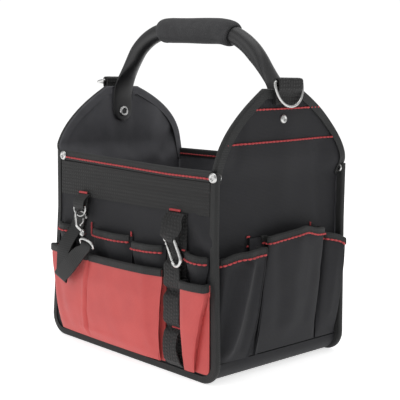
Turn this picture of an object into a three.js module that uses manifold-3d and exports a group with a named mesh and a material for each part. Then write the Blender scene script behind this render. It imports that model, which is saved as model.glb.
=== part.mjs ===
// An open-topped tool bag with a tube handle, red and black pockets, D-rings and clips.
// Millimetres, +Z up. +X is along the front, the front faces -Y, the base stands on z = 0.

import * as THREE from "three";
import Module from "manifold-3d";

const wasm = await Module();
wasm.setup();

// Driving sizes of the bag's body.
const HALF_WIDTH = 125; // front panel's bound edge at the bottom
const PINCH = {
  right: { front: 4, back: 4 }, // how much each upright edge comes in toward the top
  left: { front: 10, back: 0 },
};
const PINCH_TOP = 135; // height where it has come all the way in
const FLARE = { right: 0, left: 4 }; // how much each arch leans out above the front
const FRONT_DEPTH = 85.5; // middle of the bag to the outer face of the front panel
const FRONT_TOP = 188; // top of the front's bound edge
const CORNER = 20; // radius of the lower corners of front and back
const PANEL = 3; // padded front and back
const END_X = 117; // outer face of the end panels
const END_PANEL = 2.5;
const END_HALF = 80.4; // half width of an end panel between front and back
const BASE_TURN = 18; // height that the base turns up at the ends
const BASE_CORNER = 16;
const FRONT_BULGE = 2;
const END_BULGE = 2.5;

// Arch of the end panels: flat top, then a curve down to the foot. Each side has the end of its
// flat top, the point where the curve's two end tangents meet, and its foot.
const ARCH_TOP = 258;
const ARCH_FOOT = 188.6;
const ARCH = {
  right: {
    front: { flat: 26, bendY: 81, bendZ: 221, foot: 84 },
    back: { flat: 24, bendY: 83.5, bendZ: 227, foot: 86.6 },
  },
  left: {
    front: { flat: 20, bendY: 80, bendZ: 224, foot: 84.5 },
    back: { flat: 22, bendY: 89, bendZ: 232, foot: 86.4 },
  },
};

// Sewing sizes.
const GAP = 0.3; // between touching pieces
const TAPE = 1; // binding tape's thickness
const TAPE_LEG = 9; // how far the tape covers each side of a top edge
const SEAM_LEG = 7; // the same for the side and bottom seams
const TAPE_INSET = TAPE + GAP; // an edge lies this far inside its folded tape
const CLOTH = 1.4; // pocket walls
const POCKET_LEG = 7; // tape's cover on a pocket's top edge
const BAND = { bottom: 149, top: 178.4, left: -106, right: 112, thickness: 1.2 };
const POCKET_FOOT = 9.4; // foot of the front pockets, above the bottom tape
const END_POCKET_FOOT = 19.3;

// Webbing sizes.
const STRAP = { x: 73.2, half: 12.7, thickness: 1.6, top: 148.4, bottom: 9.6 };
const LOOP = { x: 74, half: 10.4 }; // the front webbing is narrower than its backing
const RING_WEB = { half: 14.5, thickness: 1.8, foot: 244 };
const RIBBON = { half: 9.4, thickness: 1 };

// Handle: a bent tube whose ends are pressed flat and riveted inside the end panels.
const HANDLE_TOP = 313; // centre line of the tube
const HANDLE_STRAIGHT = { right: 30, left: 36 }; // straight top, each way from the middle
const HANDLE_SLANT = 0.04; // the top sits lower at the right
const BEND_UPPER = { radius: 75, from: 0, to: 52 };
const BEND_LOWER = { radius: 40, from: 52, to: 90 };
const TUBE = 8.5; // tube's radius
const TAB = { half: 12.4, thickness: 3.6, bottom: 221 };
const GRIP = { left: 49, right: 53, radius: 12.4, end: 10.4, bore: 8.8 };
const HANDLE_RIVET_Z = 231;
const CORNER_RIVETS = [
  { name: "front_right", facing: -1, x: 117.4, z: 182.6 },
  { name: "front_left", facing: -1, x: -103.5, z: 184 },
  { name: "back_right", facing: 1, x: 117.4, z: 182.6 },
  { name: "back_left", facing: 1, x: -121.4, z: 182.6 },
];

// D-rings on the ends and how far each one stands out from hanging, in degrees.
const RING = { z: 264, half: 18, drop: 22, wire: 1.7 };
const RING_LIFT = { right: 9, left: 82 };

// Carabiner in the top strap loop, and the clip on the ribbon.
const CARABINER = {
  x: 77.1,
  z: 118.8,
  depth: 10.4,
  half: 5.7,
  straight: 12,
  wire: 1.6,
  lean: 35,
  slope: 5,
};
const GATE = { low: -10.2, high: 9, wire: 1.4 };
const TAB_RING = { x: -63.2, z: 140.5, depth: 9, half: 9.4, drop: 9.8, wire: 1.2 };
const HOOK = { wire: 1.4, radius: 5.3, foot: -27.6, aside: 1.8, raise: 1.2 };
const EYE = { half: 10, drop: 7.4, wire: 1.4, aside: 3.2, below: 3.1 };
const EYE_ACROSS = new THREE.Vector3(1, 0, -0.12).normalize(); // along the eye's bar
const EYE_UP = new THREE.Vector3(0.11, -0.41, 0.9).normalize(); // from the eye's bar to the hook

const RAD = Math.PI / 180;

function lerp(a, b, t) {
  return a + (b - a) * t;
}

function smooth(t) {
  return t * t * (3 - 2 * t);
}

function clamp01(t) {
  return Math.min(1, Math.max(0, t));
}

function vec(x, y, z) {
  return new THREE.Vector3(x, y, z);
}

// Points and triangles to a closed geometry that faces outward.
function solid(points, faces) {
  let volume = 0;
  for (const [a, b, c] of faces) {
    volume += points[a].dot(points[b].clone().cross(points[c]));
  }
  const index = faces.flatMap(([a, b, c]) => (volume < 0 ? [a, c, b] : [a, b, c]));
  const geometry = new THREE.BufferGeometry();
  const positions = points.flatMap((p) => p.toArray());
  geometry.setAttribute("position", new THREE.Float32BufferAttribute(positions, 3));
  geometry.setIndex(index);
  return geometry;
}

// A sheet with thickness, from the two grids of points on its faces.
function thickSheet(outer, inner) {
  const rows = outer.length;
  const cols = outer[0].length;
  const at = (side, r, c) => side * rows * cols + r * cols + c;
  const faces = [];
  const quad = (a, b, c, d) => faces.push([a, b, c], [a, c, d]);
  for (let r = 0; r < rows - 1; r++) {
    for (let c = 0; c < cols - 1; c++) {
      quad(at(0, r, c), at(0, r, c + 1), at(0, r + 1, c + 1), at(0, r + 1, c));
      quad(at(1, r, c), at(1, r + 1, c), at(1, r + 1, c + 1), at(1, r, c + 1));
    }
    quad(at(0, r, 0), at(0, r + 1, 0), at(1, r + 1, 0), at(1, r, 0));
    quad(at(0, r, cols - 1), at(1, r, cols - 1), at(1, r + 1, cols - 1), at(0, r + 1, cols - 1));
  }
  for (let c = 0; c < cols - 1; c++) {
    quad(at(0, 0, c), at(1, 0, c), at(1, 0, c + 1), at(0, 0, c + 1));
    quad(at(0, rows - 1, c), at(0, rows - 1, c + 1), at(1, rows - 1, c + 1), at(1, rows - 1, c));
  }
  return solid([...outer.flat(), ...inner.flat()], faces);
}

// A sheet with thickness, spread evenly either side of one grid of points.
function thicken(grid, thickness) {
  const rows = grid.length;
  const cols = grid[0].length;
  const normal = (r, c) => {
    const along = grid[Math.min(r + 1, rows - 1)][c].clone().sub(grid[Math.max(r - 1, 0)][c]);
    const across = grid[r][Math.min(c + 1, cols - 1)].clone().sub(grid[r][Math.max(c - 1, 0)]);
    return along.cross(across).normalize();
  };
  const moved = (p, r, c, offset) => p.clone().addScaledVector(normal(r, c), offset);
  const face = (offset) => grid.map((row, r) => row.map((p, c) => moved(p, r, c, offset)));
  return thickSheet(face(thickness / 2), face(-thickness / 2));
}

// Unit normals of a flat open line, on its right-hand side, stretched at the corners.
function lineNormals(line) {
  const segment = (i) => {
    const [a, b] = [line[i], line[i + 1]];
    return new THREE.Vector2(b.d - a.d, a.s - b.s).normalize();
  };
  return line.map((p, i) => {
    const before = segment(Math.max(i - 1, 0));
    const after = segment(Math.min(i, line.length - 2));
    const mean = before.clone().add(after).normalize();
    return mean.divideScalar(Math.max(0.5, mean.dot(after)));
  });
}

// A flat line moved sideways by a distance, toward the panel that it stands on.
function offsetLine(line, distance) {
  const normals = lineNormals(line);
  return line.map((p, i) => ({
    ...p,
    s: p.s + normals[i].x * distance,
    d: p.d + normals[i].y * distance,
  }));
}

// Folded binding tape. locate(step, i, n, h) gives the point at one step, n below the fold and
// h to the side. low and high are the two faces of the wall that the tape covers.
function foldedTape(steps, locate, leg, low, high) {
  const section = (fold, off) => [
    [leg, high + off],
    [fold, high + off],
    [fold, low - off],
    [leg, low - off],
  ];
  const outside = section(0, TAPE_INSET);
  const inside = section(TAPE, GAP);
  const grid = (line) => steps.map((step, i) => line.map(([n, h]) => locate(step, i, n, h)));
  return thickSheet(grid(outside), grid(inside));
}

// A bar swept along a line in one plane. half(i) gives its two half sizes: in the plane, and
// along the plane's normal.
function sweep(line, normal, half, sides, closed) {
  const count = line.length;
  const within = (i) => (closed ? (i + count) % count : Math.min(Math.max(i, 0), count - 1));
  const points = [];
  for (let i = 0; i < count; i++) {
    const tangent = line[within(i + 1)].clone().sub(line[within(i - 1)]).normalize();
    const side = tangent.clone().cross(normal).normalize();
    const [inPlane, offPlane] = half(i);
    for (let k = 0; k < sides; k++) {
      const angle = (2 * Math.PI * (k + 0.5)) / sides;
      const p = line[i].clone().addScaledVector(side, inPlane * Math.cos(angle));
      points.push(p.addScaledVector(normal, offPlane * Math.sin(angle)));
    }
  }
  const faces = [];
  for (let i = 0; i < (closed ? count : count - 1); i++) {
    for (let k = 0; k < sides; k++) {
      const [a, b] = [i * sides + k, i * sides + ((k + 1) % sides)];
      const [c, d] = [((i + 1) % count) * sides + ((k + 1) % sides), ((i + 1) % count) * sides + k];
      faces.push([a, b, c], [a, c, d]);
    }
  }
  if (!closed) {
    const last = (count - 1) * sides;
    for (let k = 1; k < sides - 1; k++) {
      faces.push([0, k + 1, k], [last, last + k, last + k + 1]);
    }
  }
  return solid(points, faces);
}

function wire(line, normal, radius, sides, closed) {
  return sweep(line, normal, () => [radius, radius], sides, closed);
}

// A turned piece: radius and height pairs, pointed at both ends, its axis along one direction.
function turned(profile, sides, origin, axis) {
  const turn = new THREE.Quaternion().setFromUnitVectors(vec(0, 0, 1), axis.clone().normalize());
  const place = (r, angle, h) => {
    const p = vec(r * Math.cos(angle), r * Math.sin(angle), h);
    return p.applyQuaternion(turn).add(origin);
  };
  const rings = profile.slice(1, -1);
  const points = [place(0, 0, profile[0][1])];
  for (const [r, h] of rings) {
    for (let k = 0; k < sides; k++) {
      points.push(place(r, (2 * Math.PI * k) / sides, h));
    }
  }
  points.push(place(0, 0, profile[profile.length - 1][1]));
  const end = points.length - 1;
  const faces = [];
  for (let k = 0; k < sides; k++) {
    const next = (k + 1) % sides;
    faces.push([0, 1 + next, 1 + k]);
    for (let i = 0; i < rings.length - 1; i++) {
      const [a, b] = [1 + i * sides, 1 + (i + 1) * sides];
      faces.push([a + k, a + next, b + next], [a + k, b + next, b + k]);
    }
    const top = 1 + (rings.length - 1) * sides;
    faces.push([top + k, top + next, end]);
  }
  return solid(points, faces);
}

function toManifold(geometry) {
  const mesh = new wasm.Mesh({
    numProp: 3,
    vertProperties: new Float32Array(geometry.attributes.position.array),
    triVerts: new Uint32Array(geometry.index.array),
  });
  return new wasm.Manifold(mesh);
}

function fromManifold(manifold) {
  const mesh = manifold.getMesh();
  const geometry = new THREE.BufferGeometry();
  geometry.setAttribute("position", new THREE.Float32BufferAttribute(mesh.vertProperties, 3));
  geometry.setIndex(Array.from(mesh.triVerts));
  return geometry;
}

function drill(geometry, holes) {
  let body = toManifold(geometry);
  for (const hole of holes) {
    body = body.subtract(toManifold(hole));
  }
  return fromManifold(body);
}

function join(first, second) {
  return fromManifold(toManifold(first).add(toManifold(second)));
}

// The outer faces that the pieces are sewn to. depth is the distance off the cloth.
function frontPoint(x, z, depth) {
  const across = Math.max(0, 1 - (x / (HALF_WIDTH - 12)) ** 2);
  const up = Math.sin(Math.PI * clamp01((z - 10) / 160));
  return vec(x, -FRONT_DEPTH - FRONT_BULGE * across * up - depth, z);
}

function backPoint(x, z, depth) {
  const p = frontPoint(x, z, depth);
  return vec(p.x, -p.y, p.z);
}

function endPoint(side) {
  return (y, z, depth) => {
    const across = Math.max(0, 1 - (y / 72) ** 2);
    const up = Math.sin(Math.PI * clamp01((z - 20) / 200));
    const free = smooth(clamp01((z - 176) / 24));
    const base = END_X - sidePinch(y, z, side) * (1 - free) + FLARE[nameOf(side)] * free;
    return vec(side * (base + END_BULGE * across * up + depth), y, z);
  };
}

// side is 1 for the right end and -1 for the left one.
function nameOf(side) {
  return side > 0 ? "right" : "left";
}

// How far an end has come in at one height, from its front edge to its back edge.
function sidePinch(y, z, side) {
  const { front, back } = PINCH[nameOf(side)];
  const share = clamp01((y + FRONT_DEPTH) / (2 * FRONT_DEPTH));
  return lerp(front, back, share) * clamp01((z - CORNER) / (PINCH_TOP - CORNER));
}

// Where a bound edge of the front (-1) or back (1) is, above the lower corners.
function edgeX(z, side, facing) {
  return side * (HALF_WIDTH - sidePinch(facing * FRONT_DEPTH, z, side));
}

// Outer face of an end panel beside the handle.
function archX(side) {
  return END_X + FLARE[nameOf(side)];
}

// Front and back panels: rows up the panel, narrower in the rounded lower corners.
function panel(place, facing) {
  const radius = CORNER - TAPE_INSET;
  const rows = [0, 22.5, 45, 67.5, 90].map((angle) => {
    const half = HALF_WIDTH - CORNER + radius * Math.sin(angle * RAD);
    return { z: CORNER - radius * Math.cos(angle * RAD), left: -half, right: half };
  });
  for (const z of [50, 80, 110, PINCH_TOP, 165, FRONT_TOP - TAPE_INSET]) {
    const left = edgeX(z, -1, facing) + TAPE_INSET;
    rows.push({ z, left, right: edgeX(z, 1, facing) - TAPE_INSET });
  }
  const shares = [0, 0.125, 0.25, 0.375, 0.5, 0.625, 0.75, 0.875, 1];
  const face = (depth) =>
    rows.map(({ z, left, right }) => shares.map((t) => place(lerp(left, right, t), z, depth)));
  return thickSheet(face(0), face(-PANEL));
}

// The bound edge of a front or back panel: down one side, along the bottom, up the other.
function seamEdge(facing) {
  const corner = (side, angle) => ({
    x: side * (HALF_WIDTH - CORNER + CORNER * Math.sin(angle * RAD)),
    z: CORNER - CORNER * Math.cos(angle * RAD),
    inX: -side * Math.sin(angle * RAD),
    inZ: Math.cos(angle * RAD),
  });
  const straight = (side, z) => ({ x: edgeX(z, side, facing), z, inX: -side, inZ: 0 });
  const half = (side) => [
    straight(side, FRONT_TOP - 1),
    straight(side, PINCH_TOP),
    ...[90, 72, 54, 36, 18, 0].map((angle) => corner(side, angle)),
  ];
  return [...half(-1), ...half(1).reverse()];
}

function seamBinding(facing) {
  const locate = ({ x, z, inX, inZ }, i, n, h) =>
    vec(x + inX * n, facing * (FRONT_DEPTH + h), z + inZ * n);
  return foldedTape(seamEdge(facing), locate, SEAM_LEG, -PANEL, 0);
}

function topBinding(facing) {
  const locate = (x, i, n, h) => vec(x, facing * (FRONT_DEPTH + h), FRONT_TOP - n);
  const left = edgeX(FRONT_TOP, -1, facing) + SEAM_LEG + GAP;
  const right = edgeX(FRONT_TOP, 1, facing) - SEAM_LEG - GAP;
  const xs = [0, 0.25, 0.5, 0.75, 1].map((t) => lerp(left, right, t));
  return foldedTape(xs, locate, TAPE_LEG, -PANEL, 0);
}

// One half of an arch, from its foot to the flat top, with its inward direction.
function archSide(side, facing) {
  const { flat, bendY, bendZ, foot } = ARCH[nameOf(side)][facing < 0 ? "front" : "back"];
  return [1, 0.92, 0.84, 0.68, 0.52, 0.36, 0.18, 0].map((t) => {
    const u = 1 - t;
    const y = u * u * flat + 2 * u * t * bendY + t * t * foot;
    const z = u * u * ARCH_TOP + 2 * u * t * bendZ + t * t * ARCH_FOOT;
    const alongY = u * (bendY - flat) + t * (foot - bendY);
    const alongZ = u * (bendZ - ARCH_TOP) + t * (ARCH_FOOT - bendZ);
    const inward = new THREE.Vector2(alongZ, -alongY).normalize();
    if (t === 0) {
      inward.add(new THREE.Vector2(0, -1)).normalize();
    }
    if (t === 1) {
      inward.set(-1, 0);
    }
    return { y: facing * y, z, inY: facing * inward.x, inZ: inward.y };
  });
}

function endPanel(side) {
  const place = endPoint(side);
  const edge = ({ y, z, inY, inZ }) => ({ y: y + inY * TAPE_INSET, z: z + inZ * TAPE_INSET });
  const arch = [-1, 1].map((facing) => archSide(side, facing).map(edge));
  const heights = [BASE_TURN + GAP, 60, 100, PINCH_TOP, 176, 184, ARCH_FOOT - GAP];
  const rows = heights.map((z) => [{ y: -END_HALF, z }, { y: END_HALF, z }]);
  arch[0].forEach((front, i) => rows.push([front, arch[1][i]]));
  const shares = [0, 0.17, 0.335, 0.5, 0.665, 0.83, 1];
  const across = ([a, b], depth) =>
    shares.map((t) => place(lerp(a.y, b.y, t), lerp(a.z, b.z, t), depth));
  const face = (depth) => rows.map((row) => across(row, depth));
  return thickSheet(face(0), face(-END_PANEL));
}

function archBinding(side) {
  const place = endPoint(side);
  const steps = [...archSide(side, -1), ...archSide(side, 1).reverse()];
  const locate = (step, i, n, h) => place(step.y + step.inY * n, step.z + step.inZ * n, h);
  const tape = foldedTape(steps, locate, TAPE_LEG, -END_PANEL - GAP, GAP);
  return drill(tape, [tabNotch(side)]);
}

// The flattened tube takes the place of the inner tape where it passes.
function tabNotch(side) {
  const half = TAB.half + GAP;
  const line = [240, 270].map((z) => vec(side * (archX(side) - END_PANEL - 3), 0, z));
  return sweep(line, vec(0, 1, 0), () => [3 * Math.SQRT2, half * Math.SQRT2], 4, false);
}

// The base runs down one end, round the lower corner, along the floor and up again.
function basePanel() {
  const half = (side, inset) => {
    const radius = BASE_CORNER - inset;
    const turn = [90, 67.5, 45, 22.5, 0].map((angle) => ({
      x: side * (END_X - BASE_CORNER + radius * Math.sin(angle * RAD)),
      z: BASE_CORNER - radius * Math.cos(angle * RAD),
    }));
    return [{ x: side * (END_X - inset), z: BASE_TURN }, ...turn];
  };
  const face = (inset) => {
    const line = [...half(-1, inset), ...half(1, inset).reverse()];
    return [-END_HALF, -20, END_HALF].map((y) => line.map((p) => vec(p.x, y, p.z)));
  };
  return thickSheet(face(0), face(END_PANEL));
}

// How far from the middle the front's face is free of its bindings, at one height.
function freeHalf(z, side) {
  const radius = CORNER - SEAM_LEG;
  const drop = Math.min(Math.max(CORNER - z, 0), radius);
  const reach = Math.sqrt(radius * radius - drop * drop);
  return side * edgeX(z, side, -1) - CORNER + reach - GAP;
}

// A sewn-on pocket. Each column of the profile has its place along the panel at the pocket's
// top and foot, how far it stands off, as a share of the row's depth, and any rise of its top.
// Where it lies on the panel it stays inside the bindings.
function pocketLine(profile, row) {
  const most = freeHalf(row.z, 1);
  const least = -freeHalf(row.z, -1);
  const clear = GAP + TAPE_INSET + GAP + CLOTH;
  return profile.map(({ top, foot, stand, rise = 0 }) => {
    const d = GAP + CLOTH + stand * row.depth;
    const s = lerp(foot, top, row.open);
    const inside = Math.min(Math.max(s, least), most);
    return { s: d < clear ? inside : s, d, z: row.z + rise * row.open };
  });
}

// The wall is upright under the binding on its top edge.
function pocket(place, profile, rows) {
  const outer = [];
  const inner = [];
  const top = rows[rows.length - 1];
  const upright = { ...top, z: top.z - POCKET_LEG };
  for (const row of [...rows.slice(0, -1), upright, top]) {
    const line = pocketLine(profile, row);
    outer.push(line.map((p) => place(p.s, p.z, p.d)));
    inner.push(offsetLine(line, CLOTH).map((p) => place(p.s, p.z, Math.max(p.d, GAP))));
  }
  return thickSheet(outer, inner);
}

// Binding on a pocket's top edge, left off where the edge lies too near the panel.
function pocketBinding(place, profile, rows) {
  const top = rows[rows.length - 1];
  const clear = CLOTH / 2 + 2 * TAPE_INSET + GAP;
  const line = offsetLine(pocketLine(profile, top), CLOTH / 2);
  const path = line.filter((p) => p.d >= clear);
  const first = line.indexOf(path[0]);
  const last = line.indexOf(path[path.length - 1]);
  const crossing = (low, high) => {
    const t = (clear - low.d) / (high.d - low.d);
    return { s: lerp(low.s, high.s, t), d: clear, z: lerp(low.z, high.z, t) };
  };
  if (first > 0) {
    path.unshift(crossing(line[first - 1], path[0]));
  }
  if (last < line.length - 1) {
    path.push(crossing(line[last + 1], line[last]));
  }
  const normals = lineNormals(path);
  const locate = (p, i, n, h) =>
    place(p.s - normals[i].x * h, p.z + TAPE_INSET - n, p.d - normals[i].y * h);
  return foldedTape(path, locate, POCKET_LEG, -CLOTH / 2, CLOTH / 2);
}

const RED_LARGE = {
  profile: [
    { top: -110.6, foot: -115.4, stand: 0 },
    { top: -115.4, foot: -113, stand: 0.5 },
    { top: -92, foot: -92, stand: 0.85 },
    { top: -66, foot: -66, stand: 1 },
    { top: -20, foot: -20, stand: 1.1 },
    { top: 30, foot: 30, stand: 1 },
    { top: 57.6, foot: 51, stand: 0.58 },
    { top: 60.6, foot: 53.6, stand: 0.52 },
    { top: 58.4, foot: 49.6, stand: 0.15 },
    { top: 60.2, foot: 57.4, stand: 0 },
  ],
  rows: [
    { z: POCKET_FOOT, depth: 4, open: 0 },
    { z: 14, depth: 6.5, open: 0.06 },
    { z: 22, depth: 9.5, open: 0.15 },
    { z: 42, depth: 12.5, open: 0.4 },
    { z: 68, depth: 12.5, open: 0.7 },
    { z: 95.4, depth: 11, open: 1 },
  ],
};

const RED_SMALL = {
  profile: [
    { top: 86.4, foot: 86.4, stand: 0 },
    { top: 87.8, foot: 87.4, stand: 0.85 },
    { top: 91, foot: 88.8, stand: 1 },
    { top: 98.6, foot: 93, stand: 1.05 },
    { top: 107, foot: 97, stand: 1.02 },
    { top: 110.2, foot: 98.8, stand: 1 },
    { top: 107.6, foot: 100.6, stand: 0.42 },
    { top: 113.6, foot: 115.4, stand: 0 },
  ],
  rows: [
    { z: POCKET_FOOT, depth: 4, open: 0 },
    { z: 14, depth: 5, open: 0.06 },
    { z: 30, depth: 7.5, open: 0.25 },
    { z: 60, depth: 10.2, open: 0.65 },
    { z: 90, depth: 10.6, open: 1 },
  ],
};

// The black row behind the red pockets.
const MID_ROWS = [
  { z: 62, depth: 0.4, open: 0 },
  { z: 80, depth: 1.2, open: 0.3 },
  { z: 97, depth: 3, open: 0.6 },
  { z: 119, depth: 7.4, open: 1 },
];
const MID_SPANS = [
  { name: "1", from: -109, to: -87, narrow: 3, dropFrom: 0, dropTo: 1 },
  { name: "2", from: -49, to: 11.6, narrow: 0, dropFrom: 0, dropTo: 0 },
  { name: "3", from: 12.4, to: 59.2, narrow: 8, dropFrom: 5, dropTo: 3 },
  { name: "4", from: 87, to: 113.4, narrow: 8, dropFrom: 4, dropTo: 6 },
];

// narrow is how much each side of the pocket comes in at its foot, the drops how far the two
// ends of its top are below the row's.
function midProfile({ from, to, narrow, dropFrom, dropTo }) {
  return [
    { share: 0, stand: 0 },
    { share: 0.12, stand: 0.62 },
    { share: 0.38, stand: 1 },
    { share: 0.64, stand: 1 },
    { share: 0.88, stand: 0.62 },
    { share: 1, stand: 0 },
  ].map(({ share, stand }) => ({
    top: lerp(from, to, share),
    foot: lerp(from + narrow, to - narrow, share),
    stand,
    rise: -lerp(dropFrom, dropTo, share),
  }));
}

// Pockets on the ends, along y.
const END_LOW = {
  profile: [
    { top: -79.6, foot: -79.2, stand: 0, rise: -2 },
    { top: -76, foot: -74, stand: 0.55, rise: -1 },
    { top: -60, foot: -58, stand: 0.95, rise: 1 },
    { top: -37, foot: -37, stand: 1.05, rise: 5 },
    { top: -33.6, foot: -33.4, stand: 0.56, rise: 5 },
  ],
  rows: [
    { z: END_POCKET_FOOT, depth: 2.4, open: 0 },
    { z: 45, depth: 9, open: 0.3 },
    { z: 78, depth: 12.5, open: 0.65 },
    { z: 112, depth: 14, open: 1 },
  ],
};

const END_MID = {
  profile: [
    { top: -42, foot: -31, stand: 0 },
    { top: -38, foot: -28, stand: 0.4 },
    { top: -20, foot: -16, stand: 0.85 },
    { top: 6, foot: 8, stand: 1 },
    { top: 34, foot: 32, stand: 1.06 },
    { top: 54, foot: 48, stand: 0.9 },
    { top: 59, foot: 53.5, stand: 0 },
  ],
  rows: [
    { z: END_POCKET_FOOT, depth: 0.4, open: 0 },
    { z: 48, depth: 5.5, open: 0.28 },
    { z: 88, depth: 9.5, open: 0.63 },
    { z: 127, depth: 12, open: 1 },
  ],
};

const END_BACK = {
  profile: [
    { top: 61.5, foot: 55.5, stand: 0 },
    { top: 64, foot: 58, stand: 0.5 },
    { top: 70.5, foot: 66, stand: 0.9 },
    { top: 78.2, foot: 77, stand: 1.05, rise: -2 },
    { top: 79.8, foot: 79.4, stand: 0, rise: -2 },
  ],
  rows: [
    { z: END_POCKET_FOOT, depth: 0.4, open: 0 },
    { z: 50, depth: 7, open: 0.3 },
    { z: 88, depth: 11.5, open: 0.68 },
    { z: 121, depth: 13, open: 1 },
  ],
};

// Strips that follow one of the sewn-to faces.
function flatStrip(place, xs, zs, depth, thickness) {
  const face = (d) => zs.map((z) => xs.map((x) => place(x, z, d)));
  return thickSheet(face(depth + thickness), face(depth));
}

function bandXs() {
  return [0, 0.2, 0.4, 0.6, 0.8, 1].map((t) => lerp(BAND.left, BAND.right, t));
}

// Front webbing: sewn down at the tacks, standing off in loops between them. The top loop is
// gathered where it passes through the carabiner.
const SEWN_DEPTH = 2.9;
const STRAP_ROWS = [
  { z: 148.4, x: 73, half: 11.6, depth: SEWN_DEPTH },
  { z: 143.5, x: 73, half: 11, depth: 8 },
  { z: 136.5, x: 74, half: 8, depth: 11.6 },
  { z: 129, x: 72.2, half: 3.3, depth: 12.8 },
  { z: 118.6, x: 75.2, half: 3.3, depth: 5.6 },
  { z: 112, x: 74.6, half: 8, depth: 4.2 },
  { z: 107, x: LOOP.x, half: LOOP.half, depth: SEWN_DEPTH },
  { z: 102, x: LOOP.x, half: LOOP.half, depth: 7.6 },
  { z: 93, x: LOOP.x, half: LOOP.half, depth: 9.2 },
  { z: 84, x: LOOP.x, half: LOOP.half, depth: 8 },
  { z: 79, x: LOOP.x, half: LOOP.half, depth: SEWN_DEPTH },
  { z: 73, x: LOOP.x, half: LOOP.half, depth: 8 },
  { z: 62, x: LOOP.x, half: LOOP.half, depth: 9.6 },
  { z: 51, x: LOOP.x, half: LOOP.half, depth: 8 },
  { z: 45, x: LOOP.x, half: LOOP.half, depth: SEWN_DEPTH },
  { z: 40, x: LOOP.x, half: LOOP.half, depth: 7.5 },
  { z: 28, x: LOOP.x, half: LOOP.half, depth: 9.5 },
  { z: 16, x: LOOP.x, half: LOOP.half, depth: 8 },
  { z: 10, x: LOOP.x, half: LOOP.half, depth: SEWN_DEPTH },
];

function strapLoops() {
  const grid = STRAP_ROWS.map(({ z, x, half, depth }) =>
    [-1, 0, 1].map((t) => frontPoint(x + t * half, z, depth)),
  );
  return thicken(grid, STRAP.thickness);
}

// The carabiner's own plane: u to the right, v up its length, leaning left, its top tucked in.
function carabinerPlane() {
  const lean = CARABINER.lean * RAD;
  const slope = CARABINER.slope * RAD;
  const up = vec(-Math.sin(lean) * Math.cos(slope), Math.sin(slope), Math.cos(lean) * Math.cos(slope));
  const right = vec(Math.cos(lean), 0, Math.sin(lean));
  const normal = right.clone().cross(up).normalize();
  const centre = frontPoint(CARABINER.x, CARABINER.z, CARABINER.depth);
  const place = (u, v) => centre.clone().addScaledVector(right, u).addScaledVector(up, v);
  return { place, normal };
}

function carabiner() {
  const { place, normal } = carabinerPlane();
  const { half, straight, wire: radius } = CARABINER;
  const line = [[-half, GATE.high + 0.5], [-half, straight]];
  for (const angle of [150, 120, 90, 60, 30, 0]) {
    line.push([half * Math.cos(angle * RAD), straight + half * Math.sin(angle * RAD)]);
  }
  for (const angle of [0, -30, -60, -90, -120, -150, -180]) {
    line.push([half * Math.cos(angle * RAD), -straight + half * Math.sin(angle * RAD)]);
  }
  line.push([-half, GATE.low - 0.5]);
  return wire(line.map(([u, v]) => place(u, v)), normal, radius, 8, false);
}

// The gate is rounded at its hinge end, the upper one, so that it can turn there.
function carabinerGate() {
  const { place, normal } = carabinerPlane();
  const rows = [
    { v: GATE.low, r: 1.3 },
    { v: GATE.low + 1, r: GATE.wire },
    { v: GATE.high - 1.7, r: GATE.wire },
    { v: GATE.high - 0.7, r: 1.3 },
    { v: GATE.high, r: 0.5 },
  ];
  const line = rows.map(({ v }) => place(-CARABINER.half, v));
  return sweep(line, normal, (i) => [rows[i].r, rows[i].r], 8, false);
}

// A D-shaped ring: a straight bar, short sides and a round bow. The bar's middle is at the
// origin, across gives the bar's direction and down the way that the bow hangs.
function dRing(origin, across, down, half, drop, radius) {
  const corner = radius * 1.1;
  const bow = drop - corner - 1.6;
  const line = [
    [-half + corner, 0],
    [half - corner, 0],
    [half - corner * 0.3, corner * 0.3],
    [half, corner],
  ];
  for (const angle of [0, 30, 60, 90, 120, 150, 180]) {
    line.push([half * Math.cos(angle * RAD), corner + 1.6 + bow * Math.sin(angle * RAD)]);
  }
  line.push([-half, corner], [-half + corner * 0.3, corner * 0.3]);
  const place = ([a, d]) => origin.clone().addScaledVector(across, a).addScaledVector(down, d);
  return wire(line.map(place), across.clone().cross(down).normalize(), radius, 8, true);
}

function ringBar(side) {
  return vec(side * (archX(side) + TAPE_INSET + GAP + RING_WEB.thickness + RING.wire + 0.6), 0, RING.z);
}

function endRing(side, lift) {
  const down = vec(side * Math.sin(lift * RAD), 0, -Math.cos(lift * RAD));
  return dRing(ringBar(side), vec(0, 1, 0), down, RING.half, RING.drop, RING.wire);
}

// Webbing that comes up the end panel, over the ring's bar and down again, both ends sewn down.
function ringLoop(side) {
  const bar = ringBar(side);
  const reach = RING.wire + 0.6 + RING_WEB.thickness / 2;
  const rows = [[bar.x - side * reach, RING_WEB.foot], [bar.x - side * reach, 253]];
  for (const angle of [180, 140, 100, 60, 20]) {
    rows.push([bar.x + side * reach * Math.cos(angle * RAD), RING.z + reach * Math.sin(angle * RAD)]);
  }
  rows.push([bar.x + side * reach * 0.9, 259]);
  const sewn = bar.x - side * (reach - RING_WEB.thickness - GAP);
  rows.push([sewn, 251], [sewn, RING_WEB.foot]);
  const grid = rows.map(([x, z]) => [-RING_WEB.half, RING_WEB.half].map((y) => vec(x, y, z)));
  return thicken(grid, RING_WEB.thickness);
}

// The tube's centre line in the plane y = 0, from the left tab to the right one.
function handleLine() {
  const right = handleSide(1);
  const left = handleSide(-1).slice(1);
  return [...left.reverse(), ...right].map((p) => vec(p.x, 0, p.z - handleSlant(p.x, p.z)));
}

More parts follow.
